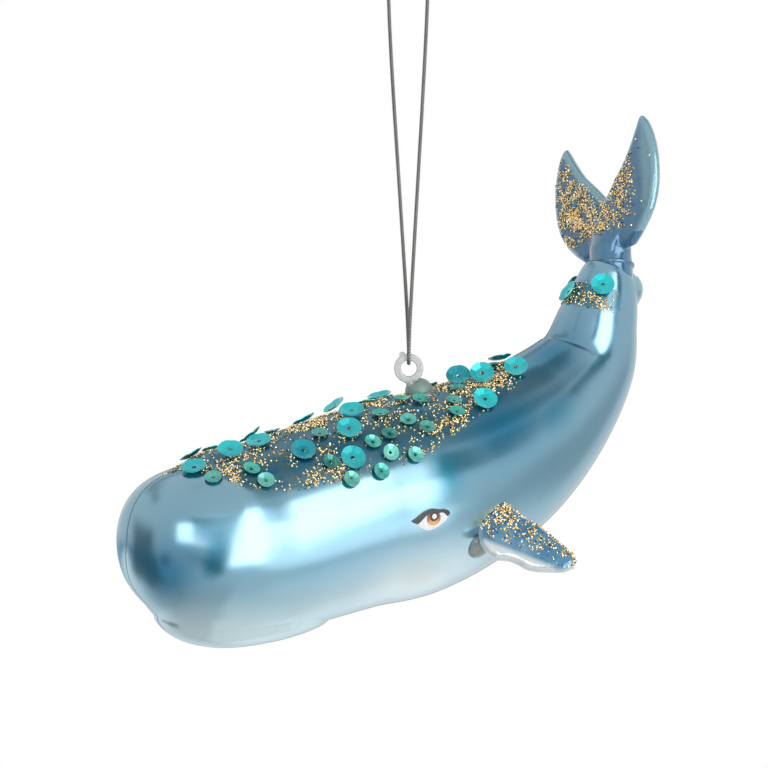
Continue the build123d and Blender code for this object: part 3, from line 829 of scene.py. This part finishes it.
def melted(piece, size):
    # one skin over pieces that run through each other
    merge = bmesh.new()
    merge.from_mesh(piece.data)
    bmesh.ops.remove_doubles(merge, verts=merge.verts, dist=0.02 * mm)
    bmesh.ops.recalc_face_normals(merge, faces=merge.faces)
    merge.to_mesh(piece.data)
    merge.free()
    remesh = piece.modifiers.new("melt", "REMESH")
    remesh.mode, remesh.voxel_size, remesh.use_smooth_shade = "VOXEL", size * mm, True
    relax = piece.modifiers.new("relax", "SMOOTH")
    relax.factor, relax.iterations = 0.5, 6
    settle(piece)


def settle(piece):
    # modifiers made part of the mesh
    graph = bpy.context.evaluated_depsgraph_get()
    mesh = bpy.data.meshes.new_from_object(piece.evaluated_get(graph))
    old = piece.data
    piece.modifiers.clear()
    piece.data = mesh
    mesh.name = piece.name
    bpy.data.meshes.remove(old)


def meshPoints(piece):
    spots = np.empty(len(piece.data.vertices) * 3)
    piece.data.vertices.foreach_get("co", spots)
    return spots.reshape(-1, 3)


def flukeOutline():
    half = np.r_[curvyOutline(flukeSet["inner"], False)[:-1], curvyOutline(flukeSet["outer"], False)]
    half = half * [flukeSet["halfSpan"], flukeSet["rise"]] + [0, flukeSet["root"]]
    return np.r_[half, (half * [-1, 1])[::-1][:-1]]


def makeFlukes():
    tip = skinPoints(np.array([1.0, 1.0]), np.array([0.0, 180.0])).mean(0)
    outline = flukeOutline()
    verts, faces = slab(outline, flukeSet["thick"], flukeSet["rim"])
    # flat x is across, flat y is up; the thickness lies along the whale
    bend = flukeSet["cup"] * (np.abs(verts[:, 0]) / flukeSet["halfSpan"]) ** 2
    spots = np.c_[verts[:, 0], verts[:, 2] + bend, verts[:, 1]]
    rings, around, neck = flukeSet["waist"], 40, flukeSet["neck"]
    first = len(spots)
    turn = np.arange(around) * math.tau / around
    for wide, deep, high in rings:
        level = np.full(around, flukeSet["root"] * (1 + high))
        spots = np.r_[spots, np.c_[np.cos(turn) * wide * neck, np.sin(turn) * deep * neck, level]]
    faces += bandFaces(first, len(rings), around)
    faces.append(tuple(first + k for k in reversed(range(around))))
    faces.append(tuple(first + (len(rings) - 1) * around + k for k in range(around)))
    world, basis = placed(tip, flukeSet["left"], flukeSet["up"], spots)
    piece = newPiece("tailFlukes", world, faces)
    melted(piece, flukeSet["melt"])
    own = (meshPoints(piece) - tip) @ basis.T / mm
    spec = flukeSet["bare"]
    bare = np.clip(spec["rim"] - edgeDistance(own[:, [0, 2]], outline) / spec["reach"], 0, 1)
    bare = np.where(own[:, 2] < spec["above"], 0.0, bare)
    (low, softLow), (far, softFar) = spec["leafUp"], spec["leafOut"]
    leaf = np.clip((own[:, 2] - low) / softLow, 0, 1) * np.clip((own[:, 0] - far) / softFar, 0, 1)
    setFloat(piece, "bare", np.maximum(bare, leaf * spec["leafShow"]))
    wear(piece, mats["fluke"])
    dress(piece, "whale", "tail_flukes")
    return piece, tip, basis, outline


def flipperFrame(side):
    share, turn = np.array([flipperSet["share"]]), np.array([flipperSet["turn"]])
    origin = skinPoints(share, turn)[0] + skinNormals(share, turn)[0] * flipperSet["proud"] * mm
    flip = np.array([1, side, 1])
    way = Vector(flipperSet["way"] * flip).normalized()
    chord = Vector(flipperSet["chord"] * flip)
    face = way.cross((chord - way * chord.dot(way)).normalized())
    return origin * flip, way, face


def flipperOutline():
    outline = curvyOutline(flipperSet["outline"])
    return (outline - [flipperSet["rootShare"], 0]) * [flipperSet["length"], flipperSet["width"]]


def makeFlipper(name, node, side):
    origin, way, face = flipperFrame(side)
    outline = flipperOutline() * [1, side]
    verts, faces = slab(outline, flipperSet["thick"], flipperSet["rim"])
    world, basis = placed(origin, way, face, verts)
    piece = newPiece(name, world, faces)
    melted(piece, flipperSet["melt"])
    own = (meshPoints(piece) - origin) @ basis.T / mm
    spec = flipperSet["bare"]
    low, soft = spec["band"]
    bare = np.clip(spec["rim"] - edgeDistance(own[:, :2], outline) / spec["reach"], 0, 1) * spec["show"]
    setFloat(piece, "bare", np.maximum(bare, np.clip((own[:, 1] * side - low) / soft, 0, 1)))
    wear(piece, mats["flipper"])
    dress(piece, "whale", node)
    return piece, origin, basis


flukes, flukeTip, flukeBasis, flukeEdge = makeFlukes()
leftFlipper = makeFlipper("leftFlipper", "left_flipper", 1)
rightFlipper = makeFlipper("rightFlipper", "right_flipper", -1)
print("flukes and flippers ready")

# ---- repeats: sequins and glitter beads, by geometry nodes ----
sequinSet = {
    "large": {
        "across": 6.0, "hole": 0.17, "flat": 0.56, "lift": 0.09, "facets": 6, "gauge": 0.2,
        "slot": "turquoise_sequin"},
    "small": {
        "across": 4.0, "hole": 0.20, "flat": 0.50, "lift": 0.12, "facets": 8, "gauge": 0.16,
        "slot": "green_sequin"},
    "float": 0.08,
}
# share of the body's line, degrees from the back (left side positive), tilt, way of tilt
largePlaces = {
    "head_left": [(0.075, 12, 6, 240), (0.150, 11, 18, 240), (0.226, 5, 10, 240), (0.269, 29, 8, 250)],
    "head_right": [(0.246, -15, 18, 150), (0.125, -24, 4, 0), (0.195, -42, 5, 90), (0.285, -36, 6, 200)],
    "back_left": [(0.350, 25, 14, 240), (0.378, 7.6, 14, 240), (0.327, 45, 6, 250)],
    "back_right": [
        (0.345, -22, 6, 170), (0.385, -16, 24, 190), (0.465, -12, 12, 240), (0.345, -46, 6, 90),
        (0.412, -38, 5, 180), (0.470, -42, 5, 30)],
    "rear_left": [(0.647, 11, 34, 240), (0.599, 33, 14, 240), (0.713, 18, 20, 230), (0.611, 2.3, 34, 240)],
    "rear_right": [(0.697, -8, 10, 0), (0.735, -14, 16, 20), (0.600, -34, 5, 90), (0.668, -36, 6, 0)],
    "stock": [(0.964, 47, 5, 0), (0.944, -14, 6, 0), (0.958, -68, 5, 180)],
}
smallPlaces = {
    "head_left": [(0.087, 30, 0, 0), (0.160, 32, 4, 0), (0.174, 43, 12, 180), (0.292, 43, 5, 0)],
    "head_right": [
        (0.160, -20, 5, 90), (0.275, -10, 5, 0), (0.228, -50, 6, 0), (0.262, -56, 5, 90),
        (0.098, -44, 5, 0)],
    "back_left": [
        (0.311, 19, 5, 0), (0.309, 57, 6, 0), (0.404, 18, 5, 90), (0.472, 7, 6, 0), (0.496, 14, 9, 270),
        (0.366, 39, 5, 0), (0.392, 37, 7, 90), (0.379, 49, 14, 270), (0.356, 58, 6, 0),
        (0.434, 30, 5, 180), (0.411, 54, 6, 0), (0.460, 39, 6, 90)],
    "back_right": [
        (0.430, -7, 5, 0), (0.372, -58, 6, 0), (0.428, -56, 5, 90), (0.440, -24, 6, 0),
        (0.500, -26, 5, 180), (0.330, -62, 5, 90)],
    "rear_left": [(0.551, 24, 5, 0), (0.533, 34, 8, 90), (0.585, 12, 5, 0)],
    "rear_right": [(0.560, -24, 5, 0), (0.575, -12, 6, 90), (0.548, -40, 5, 0), (0.640, -50, 6, 0)],
}
beadSet = {
    "across": 0.54, "spread": 0.25, "lift": 0.12 * mm, "seed": 7,
    "back": 6400, "flukes": 1900, "flipper": 640,
    # places thrown on the back, how many of them are tried, where, and what a place is weighed against
    "thrown": 260000, "tried": 60000, "shares": (0.04, 1.0), "turns": (-75, 75), "luck": 2.3,
    # thin cover, where the patch's edge starts and how steeply
    "cover": 0.10, "edgeFrom": 0.38, "edgeSteep": 4,
    # uneven cover: size of a clump in millimetres, middle, swing and least
    "clumps": {
        "back": (3.2, 0.75, 1.5, 0.05), "flukes": (2.5, 0.7, 1.4, 0.08), "flipper": (2.2, 0.8, 1.2, 0.1)},
}


def makeSequinForm(name, spec):
    # a cup with flat facets round a flat middle, and a hole
    rim = spec["across"] / 2 * mm
    facets, fine = spec["facets"], 4
    around = facets * fine
    flat = rim * spec["flat"]
    steep = spec["lift"] * spec["across"] * mm / (rim - flat)
    corner = flat * math.cos(math.pi / facets)
    verts, paintedCupShades = [], []
    for top in (1, 0):
        # the dip values are painted shade: darkest at the hole, none at the rim
        for ring, (reach, dip) in enumerate(((rim * spec["hole"], 0.9), (flat, 0.35), (rim, 0.0))):
            for k in range(around):
                turn = math.tau * k / around
                local = (k % fine) / fine * math.tau / facets - math.pi / facets
                away = corner / math.cos(local) if ring == 1 else reach
                climb = max(reach * math.cos(local) - corner, 0) * steep if ring == 2 else 0
                verts.append((away * math.cos(turn), away * math.sin(turn), climb + top * spec["gauge"] * mm))
                paintedCupShades.append(dip)
    faces = []
    half = 3 * around
    for k in range(around):
        n = (k + 1) % around
        for ring in range(2):
            low = ring * around
            a, b, c, d = low + k, low + n, low + around + n, low + around + k
            faces.append((a, d, c, b))
            faces.append((half + a, half + b, half + c, half + d))
        faces.append((2 * around + k, half + 2 * around + k, half + 2 * around + n, 2 * around + n))
        faces.append((k, n, half + n, half + k))
    form = newPiece(name, verts, faces, smooth=False)
    setFloat(form, "dip", paintedCupShades)
    faceOutwards(form)
    return form


scatterSockets = [
    ("Points", "Geometry", None), ("Form", "Object", None), ("Size", "Float", 1.0), ("Spread", "Float", 0.0),
    ("Seed", "Int", 1),
]
scatterNodes = {
    "start": "NodeGroupInput", "end": "NodeGroupOutput", "form": "GeometryNodeObjectInfo",
    "points": "GeometryNodeMeshToPoints", "turn": "GeometryNodeInputNamedAttribute",
    "toTurn": "FunctionNodeEulerToRotation", "shade": "FunctionNodeRandomValue",
    "store": "GeometryNodeStoreNamedAttribute", "size": "FunctionNodeRandomValue",
    "smaller": "ShaderNodeMath", "copies": "GeometryNodeInstanceOnPoints",
    "real": "GeometryNodeRealizeInstances", "paint": "GeometryNodeSetMaterial",
}
# from a node and its output to a node and its input
scatterLinks = [
    ("start", "Form", "form", "Object"), ("start", "Points", "points", "Mesh"),
    ("turn", "Attribute", "toTurn", 0), ("start", "Seed", "shade", "Seed"),
    ("points", "Points", "store", "Geometry"), ("shade", 1, "store", "Value"),
    ("start", "Seed", "size", "Seed"), ("start", "Size", "smaller", 0), ("start", "Spread", "smaller", 1),
    ("smaller", 0, "size", 2), ("start", "Size", "size", 3), ("store", "Geometry", "copies", "Points"),
    ("form", "Geometry", "copies", "Instance"), ("toTurn", 0, "copies", "Rotation"),
    ("size", 1, "copies", "Scale"), ("copies", "Instances", "real", "Geometry"),
    ("real", "Geometry", "paint", "Geometry"), ("paint", "Geometry", "end", "Pieces"),
]


def scatterTree(name, realMat):
    # each point gets a copy of a form, turned by the point's own attribute, with a random size and shade
    tree = bpy.data.node_groups.new(name, "GeometryNodeTree")
    for label, kind, value in scatterSockets:
        socket = tree.interface.new_socket(label, in_out="INPUT", socket_type="NodeSocket" + kind)
        if value is not None:
            socket.default_value = value
    tree.interface.new_socket("Pieces", in_out="OUTPUT", socket_type="NodeSocketGeometry")
    nodes = {key: tree.nodes.new(kind) for key, kind in scatterNodes.items()}
    nodes["turn"].data_type = "FLOAT_VECTOR"
    nodes["store"].data_type, nodes["store"].domain = "FLOAT", "POINT"
    nodes["turn"].inputs["Name"].default_value = "turn"
    nodes["store"].inputs["Name"].default_value = "shade"
    nodes["smaller"].operation = "SUBTRACT"
    nodes["paint"].inputs["Material"].default_value = realMat
    for source, out, target, into in scatterLinks:
        tree.links.new(nodes[source].outputs[out], nodes[target].inputs[into])
    return tree


def scatter(name, tree, spots, turns, form, size=1.0, spread=0.0, seed=1):
    holder = newPiece(name, spots, [])
    layer = holder.data.attributes.new("turn", "FLOAT_VECTOR", "POINT")
    layer.data.foreach_set("vector", np.asarray(turns, dtype=np.float32).ravel())
    modifier = holder.modifiers.new("scatter", "NODES")
    modifier.node_group = tree
    wanted = {"Form": form, "Size": float(size), "Spread": float(spread), "Seed": seed}
    for item in tree.interface.items_tree:
        if item.in_out == "INPUT" and item.name in wanted:
            modifier[item.identifier] = wanted[item.name]
    settle(holder)
    return holder


def eulerOf(normal, along, tilt=0.0, way=0.0):
    # a turn that stands a form on a surface, leaning by tilt
    z = Vector(normal).normalized()
    x = Vector(along)
    x = (x - z * x.dot(z)).normalized()
    stand = Matrix((x, z.cross(x), z)).transposed() @ Matrix.Rotation(math.radians(way), 3, "Z")
    return tuple((stand @ Matrix.Rotation(math.radians(tilt), 3, "Y")).to_euler())


def makeSequins():
    for kind, places in (("large", largePlaces), ("small", smallPlaces)):
        spec = sequinSet[kind]
        form = makeSequinForm(kind + "Form", spec)
        tree = scatterTree(kind + "SequinScatter", mats[kind])
        for zone, rows in places.items():
            share, turn, tilt, way = (np.array(c, float) for c in zip(*rows))
            spots, normals = skinPoints(share, turn), skinNormals(share, turn)
            along = skinPoints(share + 0.003, turn) - spots
            raised = sequinSet["float"] + spec["across"] / 2 * np.sin(np.radians(tilt))
            spots = spots + normals * raised[:, None] * mm
            turns = [eulerOf(*row) for row in zip(normals, along, tilt, way)]
            piece = scatter(f"{kind}Sequins.{zone}", tree, spots, turns, form, seed=len(zone) + len(rows))
            dress(piece, "whale", f"{kind}_sequins_{zone}")
        bpy.data.objects.remove(form)


def beadForm():
    ball = bmesh.new()
    bmesh.ops.create_icosphere(ball, subdivisions=1, radius=0.5 * mm)
    mesh = bpy.data.meshes.new("beadForm")
    ball.to_mesh(mesh)
    ball.free()
    form = bpy.data.objects.new("beadForm", mesh)
    bpy.context.scene.collection.objects.link(form)
    return form


# where beads lie thick on the back: share, degrees, reach in share, reach in degrees, weight
beadDrifts = [
    (0.06, 8, 0.03, 10, 0.8), (0.13, 22, 0.03, 10, 0.5), (0.115, 36, 0.025, 9, 1.0),
    (0.18, 16, 0.05, 7, 0.7), (0.29, 50, 0.045, 8, 1.5), (0.25, 30, 0.02, 8, 0.5),
    (0.31, 36, 0.03, 8, 0.9), (0.28, 3, 0.06, 5, 0.9), (0.345, 5, 0.03, 6, 1.0),
    (0.40, 24, 0.05, 10, 0.5), (0.44, 52, 0.03, 6, 1.4), (0.44, 4, 0.05, 5, 0.7),
    (0.50, 42, 0.04, 6, 1.5), (0.55, 36, 0.05, 8, 1.3), (0.57, 16, 0.05, 10, 1.2),
    (0.53, 6, 0.05, 7, 0.8), (0.63, 20, 0.04, 10, 1.0), (0.68, 12, 0.04, 10, 1.2),
    (0.735, 6, 0.03, 8, 1.2), (0.60, 30, 0.03, 6, 0.8), (0.945, 20, 0.015, 22, 0.7),
    (0.93, 50, 0.01, 16, 0.5), (0.985, -40, 0.015, 30, 0.6)]


def beadWeights(share, turn):
    folded = fromBack(turn)
    weight = beadSet["cover"] + 0 * share
    for at, way, longReach, wideReach, strength in beadDrifts:
        weight = weight + strength * softSpot(share, folded, at, abs(way), longReach, wideReach)
    return weight * np.clip((patchMask(share, turn) - beadSet["edgeFrom"]) * beadSet["edgeSteep"], 0, 1)


def clumpsOf(spots, kind):
    size, middle, swing, least = beadSet["clumps"][kind]
    cloud = np.array([noise.noise(Vector(p) / (size * mm)) for p in spots])
    return np.clip(middle + swing * cloud, least, 2)


def placeBeads(spots, normals, dice):
    turns = dice.uniform(0, math.tau, (len(spots), 3))
    return spots + normals * beadSet["lift"], turns


def backBeads(dice):
    # thrown along the body, kept where the glue is
    thrown, tried = beadSet["thrown"], beadSet["tried"]
    share = dice.uniform(*beadSet["shares"], thrown)[:tried]
    turn = dice.uniform(*beadSet["turns"], thrown)[:tried]
    spots = skinPoints(share, turn)
    keep = beadWeights(share, turn) * clumpsOf(spots, "back")
    chosen = dice.uniform(0, beadSet["luck"], len(keep)) < keep
    share, turn, spots = (found[chosen][:beadSet["back"]] for found in (share, turn, spots))
    return placeBeads(spots, skinNormals(share, turn), dice)


def surfaceBeads(piece, count, dice, weightOf, facing):
    # thrown on a mesh's triangles that face one way
    mesh = piece.data
    mesh.calc_loop_triangles()
    spots = meshPoints(piece)
    tris = np.array([t.vertices[:] for t in mesh.loop_triangles])
    a, b, c = (spots[tris[:, k]] for k in range(3))
    normal = np.cross(b - a, c - a)
    area = np.linalg.norm(normal, axis=1) / 2
    normal /= 2 * area[:, None] + 1e-18
    weight = area * weightOf((a + b + c) / 3) * np.clip((normal @ facing + 0.05) * 6, 0, 1)
    pick = dice.choice(len(tris), count, p=weight / weight.sum())
    u, v = dice.uniform(0, 1, (2, count))
    flip = u + v > 1
    u, v = np.where(flip, 1 - u, u), np.where(flip, 1 - v, v)
    found = a[pick] + (b - a)[pick] * u[:, None] + (c - a)[pick] * v[:, None]
    return placeBeads(found, normal[pick], dice)


# drifts on the flukes, thick on the right leaf: across, up, reach across, reach up, weight
flukeDrifts = [
    (-13, 17, 5, 9, 1.9), (-7, 14, 7, 7, 1.1), (6, 22, 3, 7, 1.1), (10, 30, 3, 6, 1.2), (3, 10, 4, 4, 1.1),
    (-14, 27, 4, 5, 1.1), (9, 18, 4, 3, 0.8), (0, 16, 3, 5, 0.9),
]
# even cover; where it starts from the rim and above the neck, each with its softness; the end of the
# left leaf is nearly bare: from, softness, least
flukeCover = {"even": 0.25, "rim": (0.9, 0.8), "neck": (7.5, 1.5), "leafEnd": (13.5, 3, 0.06)}
# even cover, a drift by the root, a ridge along the blade and where the clear lower band starts
flipperCover = {
    "even": 0.7, "drift": (-1, -4.5, 4.5, 3), "driftShow": 1.6, "ridge": (2.5, 0.1, 2.2), "ridgeShow": 0.8,
    "band": (3.0, 2.0),
}


def flukeWeight(spots):
    own = (spots - flukeTip) @ flukeBasis.T / mm
    x, y = own[:, 0], own[:, 2]
    weight = flukeCover["even"] + 0 * x
    for ax, ay, rx, ry, strength in flukeDrifts:
        weight = weight + strength * softSpot(x, y, ax, ay, rx, ry)
    weight *= clumpsOf(spots, "flukes")
    (rim, softRim), (neck, softNeck) = flukeCover["rim"], flukeCover["neck"]
    far, softFar, least = flukeCover["leafEnd"]
    inside = edgeDistance(own[:, [0, 2]], flukeEdge)
    weight = weight * np.clip((inside - rim) / softRim, 0, 1) * np.clip((y - neck) / softNeck, 0, 1)
    return weight * np.clip((far - x) / softFar, least, 1)


def flipperWeight(side, origin, basis):
    def weightOf(spots):
        own = (spots - origin) @ basis.T / mm
        x, y = own[:, 0], own[:, 1] * side
        up, slope, reach = flipperCover["ridge"]
        ridge = np.exp(-((y + up - slope * x) / reach) ** 2)
        drift = softSpot(x, y, *flipperCover["drift"])
        weight = flipperCover["even"] + flipperCover["driftShow"] * drift + flipperCover["ridgeShow"] * ridge
        low, soft = flipperCover["band"]
        return weight * clumpsOf(spots, "flipper") * np.clip((low - y) / soft, 0, 1)
    return weightOf


def makeBeads():
    dice = np.random.default_rng(beadSet["seed"])
    form = beadForm()
    tree = scatterTree("beadScatter", mats["gold"])
    jobs = [("backGlitter", *backBeads(dice))]
    jobs.append(("flukeGlitter", *surfaceBeads(flukes, beadSet["flukes"], dice, flukeWeight, -flukeBasis[1])))
    for name, side, (piece, origin, basis) in (("left", 1, leftFlipper), ("right", -1, rightFlipper)):
        facing = basis[2] * (1 if basis[2][1] * side < 0 else -1)  # the face away from the body
        found = surfaceBeads(piece, beadSet["flipper"], dice, flipperWeight(side, origin, basis), facing)
        jobs.append((name + "FlipperGlitter", *found))
    size, seed = beadSet["across"], beadSet["seed"]
    for name, spots, turns in jobs:
        piece = scatter(name, tree, spots, turns, form, size, size * beadSet["spread"], seed)
        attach(piece, "whale")
    bpy.data.objects.remove(form)


makeSequins()
makeBeads()
print("sequins and beads ready")

# ---- finishes of the pieces that keep their shape ----
finishes = {
    "hanger_eyelet": "ring", "hanger_cap": "cap", "cap_glue": "glue", "fluke_glue": "fluke",
    "left_flipper_glue": "glue", "right_flipper_glue": "glue",
}
for side in ("left", "right"):
    finishes[side + "_eye_white"] = "white"
    finishes[side + "_eye_iris"] = "iris"
    finishes[side + "_eye_lash_and_pupil"] = "black"
    finishes[side + "_eye_glint"] = "glint"
for node, finish in finishes.items():
    wear(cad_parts[node], mats[finish])
print("finishes ready")

# ---- studio ----
studioSet = {
    "floorDrop": 0.42, "floorRadius": 0.7, "floorSides": 96, "surround": 0.55, "aim": (0, 0, -0.12),
    # lamps: degrees right of the camera, degrees up, distance, width, height, brightness of its face
    "lamps": [(29, 4, 0.8, 0.70, 0.98, 1.5), (-11, 10, 0.8, 0.27, 0.24, 1.5)],
    # what polished things mirror: degrees right, degrees up, half width, half height, softness, light there
    "cards": [
        (0, -75, 181, 24, 10, 0.75), (110, -62, 75, 20, 8, 1.05), (-125, -22, 20, 18, 8, 1.25),
        (125, -42, 50, 9, 5, 1.3), (120, 76, 62, 13, 8, 0.25), (37, 6, 21, 32, 4, 4.4),
        (64, -22, 6, 9, 4, 2.2), (-2, 11, 9, 15, 4, 4.6), (-84, -10, 26, 22, 10, 0.3),
        (-72, -36, 22, 18, 8, 0.3), (9.5, 2, 4, 34, 3, 0.05), (5, -26, 6, 9, 4, 0.08),
        (63, 28, 8.5, 12, 3, 0.04), (80, 53, 20, 9, 6, 0.35), (102, -12, 22, 12, 8, 0.65),
        (-34, -28, 9, 8, 6, 0.45), (-150, 42, 26, 5, 4, 0.5), (-110, 50, 30, 6, 6, 0.6)],
    # the same straight ahead of the camera, behind the whale: reach in degrees, softness, light there
    "behind": (18, 8, 0.3),
}


def fromCamera(right, up):
    a, e = math.radians(right), math.radians(up)
    level = camRight * math.sin(a) * math.cos(e)
    return level + camUp * math.sin(e) + camBack * math.cos(a) * math.cos(e)


def makeStudio():
    sides, reach = studioSet["floorSides"], studioSet["floorRadius"]
    rim = np.arange(sides) * math.tau / sides
    level = np.full(sides, -studioSet["floorDrop"])
    floor = newPiece("floor", np.c_[np.cos(rim) * reach, np.sin(rim) * reach, level], [range(sides)])
    wear(floor, makeFloorMat())
    floor.visible_glossy = False
    aim = Vector(studioSet["aim"])
    for k, (right, up, far, wide, high, glow) in enumerate(studioSet["lamps"]):
        lamp = bpy.data.lights.new(f"softbox{k}", "AREA")
        lamp.shape, lamp.size, lamp.size_y = "RECTANGLE", wide, high
        lamp.energy = glow * math.pi * wide * high
        holder = bpy.data.objects.new(f"softbox{k}", lamp)
        way = fromCamera(right, up)
        holder.location = aim + way * far
        holder.rotation_euler = way.to_track_quat("Z", "Y").to_euler()
        holder.visible_camera = holder.visible_glossy = False
        bpy.context.scene.collection.objects.link(holder)
    world = bpy.data.worlds.new("studio")
    bpy.context.scene.world = world
    world.use_nodes = True
    t = Nodes(world.node_tree)
    path, where = t.add("ShaderNodeLightPath"), t.add("ShaderNodeTexCoord")

    def along(way):
        dot = t.add("ShaderNodeVectorMath", operation="DOT_PRODUCT")
        dot.inputs[1].default_value = way
        t.link(where.outputs["Generated"], dot.inputs[0])
        return dot.outputs["Value"]

    def within(value, middle, half, soft):
        off = t.math("ABSOLUTE", t.math("SUBTRACT", value, middle))
        return t.span(off, half + soft, half - soft, how="SMOOTHSTEP")

    def lit(value, mask, level):
        return t.math("ADD", value, t.math("MULTIPLY", mask, t.math("SUBTRACT", level, value)))

    sideways = t.math("MULTIPLY", t.math("ARCTAN2", along(camRight), along(camBack)), 180 / math.pi)
    upwards = t.math("MULTIPLY", t.math("ARCSINE", along(camUp)), 180 / math.pi)
    value = 1.0
    for right, up, halfWide, halfHigh, soft, level in studioSet["cards"]:
        wide, high = within(sideways, right, halfWide, soft), within(upwards, up, halfHigh, soft)
        value = lit(value, t.math("MULTIPLY", wide, high), level)
    reach, soft, level = studioSet["behind"]
    off = t.math("MULTIPLY", t.math("ARCCOSINE", along(-camBack)), 180 / math.pi)
    value = lit(value, t.span(off, reach + soft, reach - soft, how="SMOOTHSTEP"), level)

    def choose(fac, a, b):
        node = t.add("ShaderNodeMix")
        for socket, item in zip((node.inputs[0], node.inputs[2], node.inputs[3]), (fac, a, b)):
            if isinstance(item, float):
                socket.default_value = item
            else:
                t.link(item, socket)
        return node.outputs[0]

    strength = choose(path.outputs["Is Glossy Ray"], studioSet["surround"], value)
    strength = choose(path.outputs["Is Transmission Ray"], strength, 1.0)
    strength = choose(path.outputs["Is Camera Ray"], strength, 1.0)
    t.link(strength, t.nodes["Background"].inputs["Strength"])
    t.nodes["Background"].inputs["Color"].default_value = (1, 1, 1, 1)
    bpy.context.scene.view_settings.view_transform = "Standard"


makeStudio()
print("studio ready")
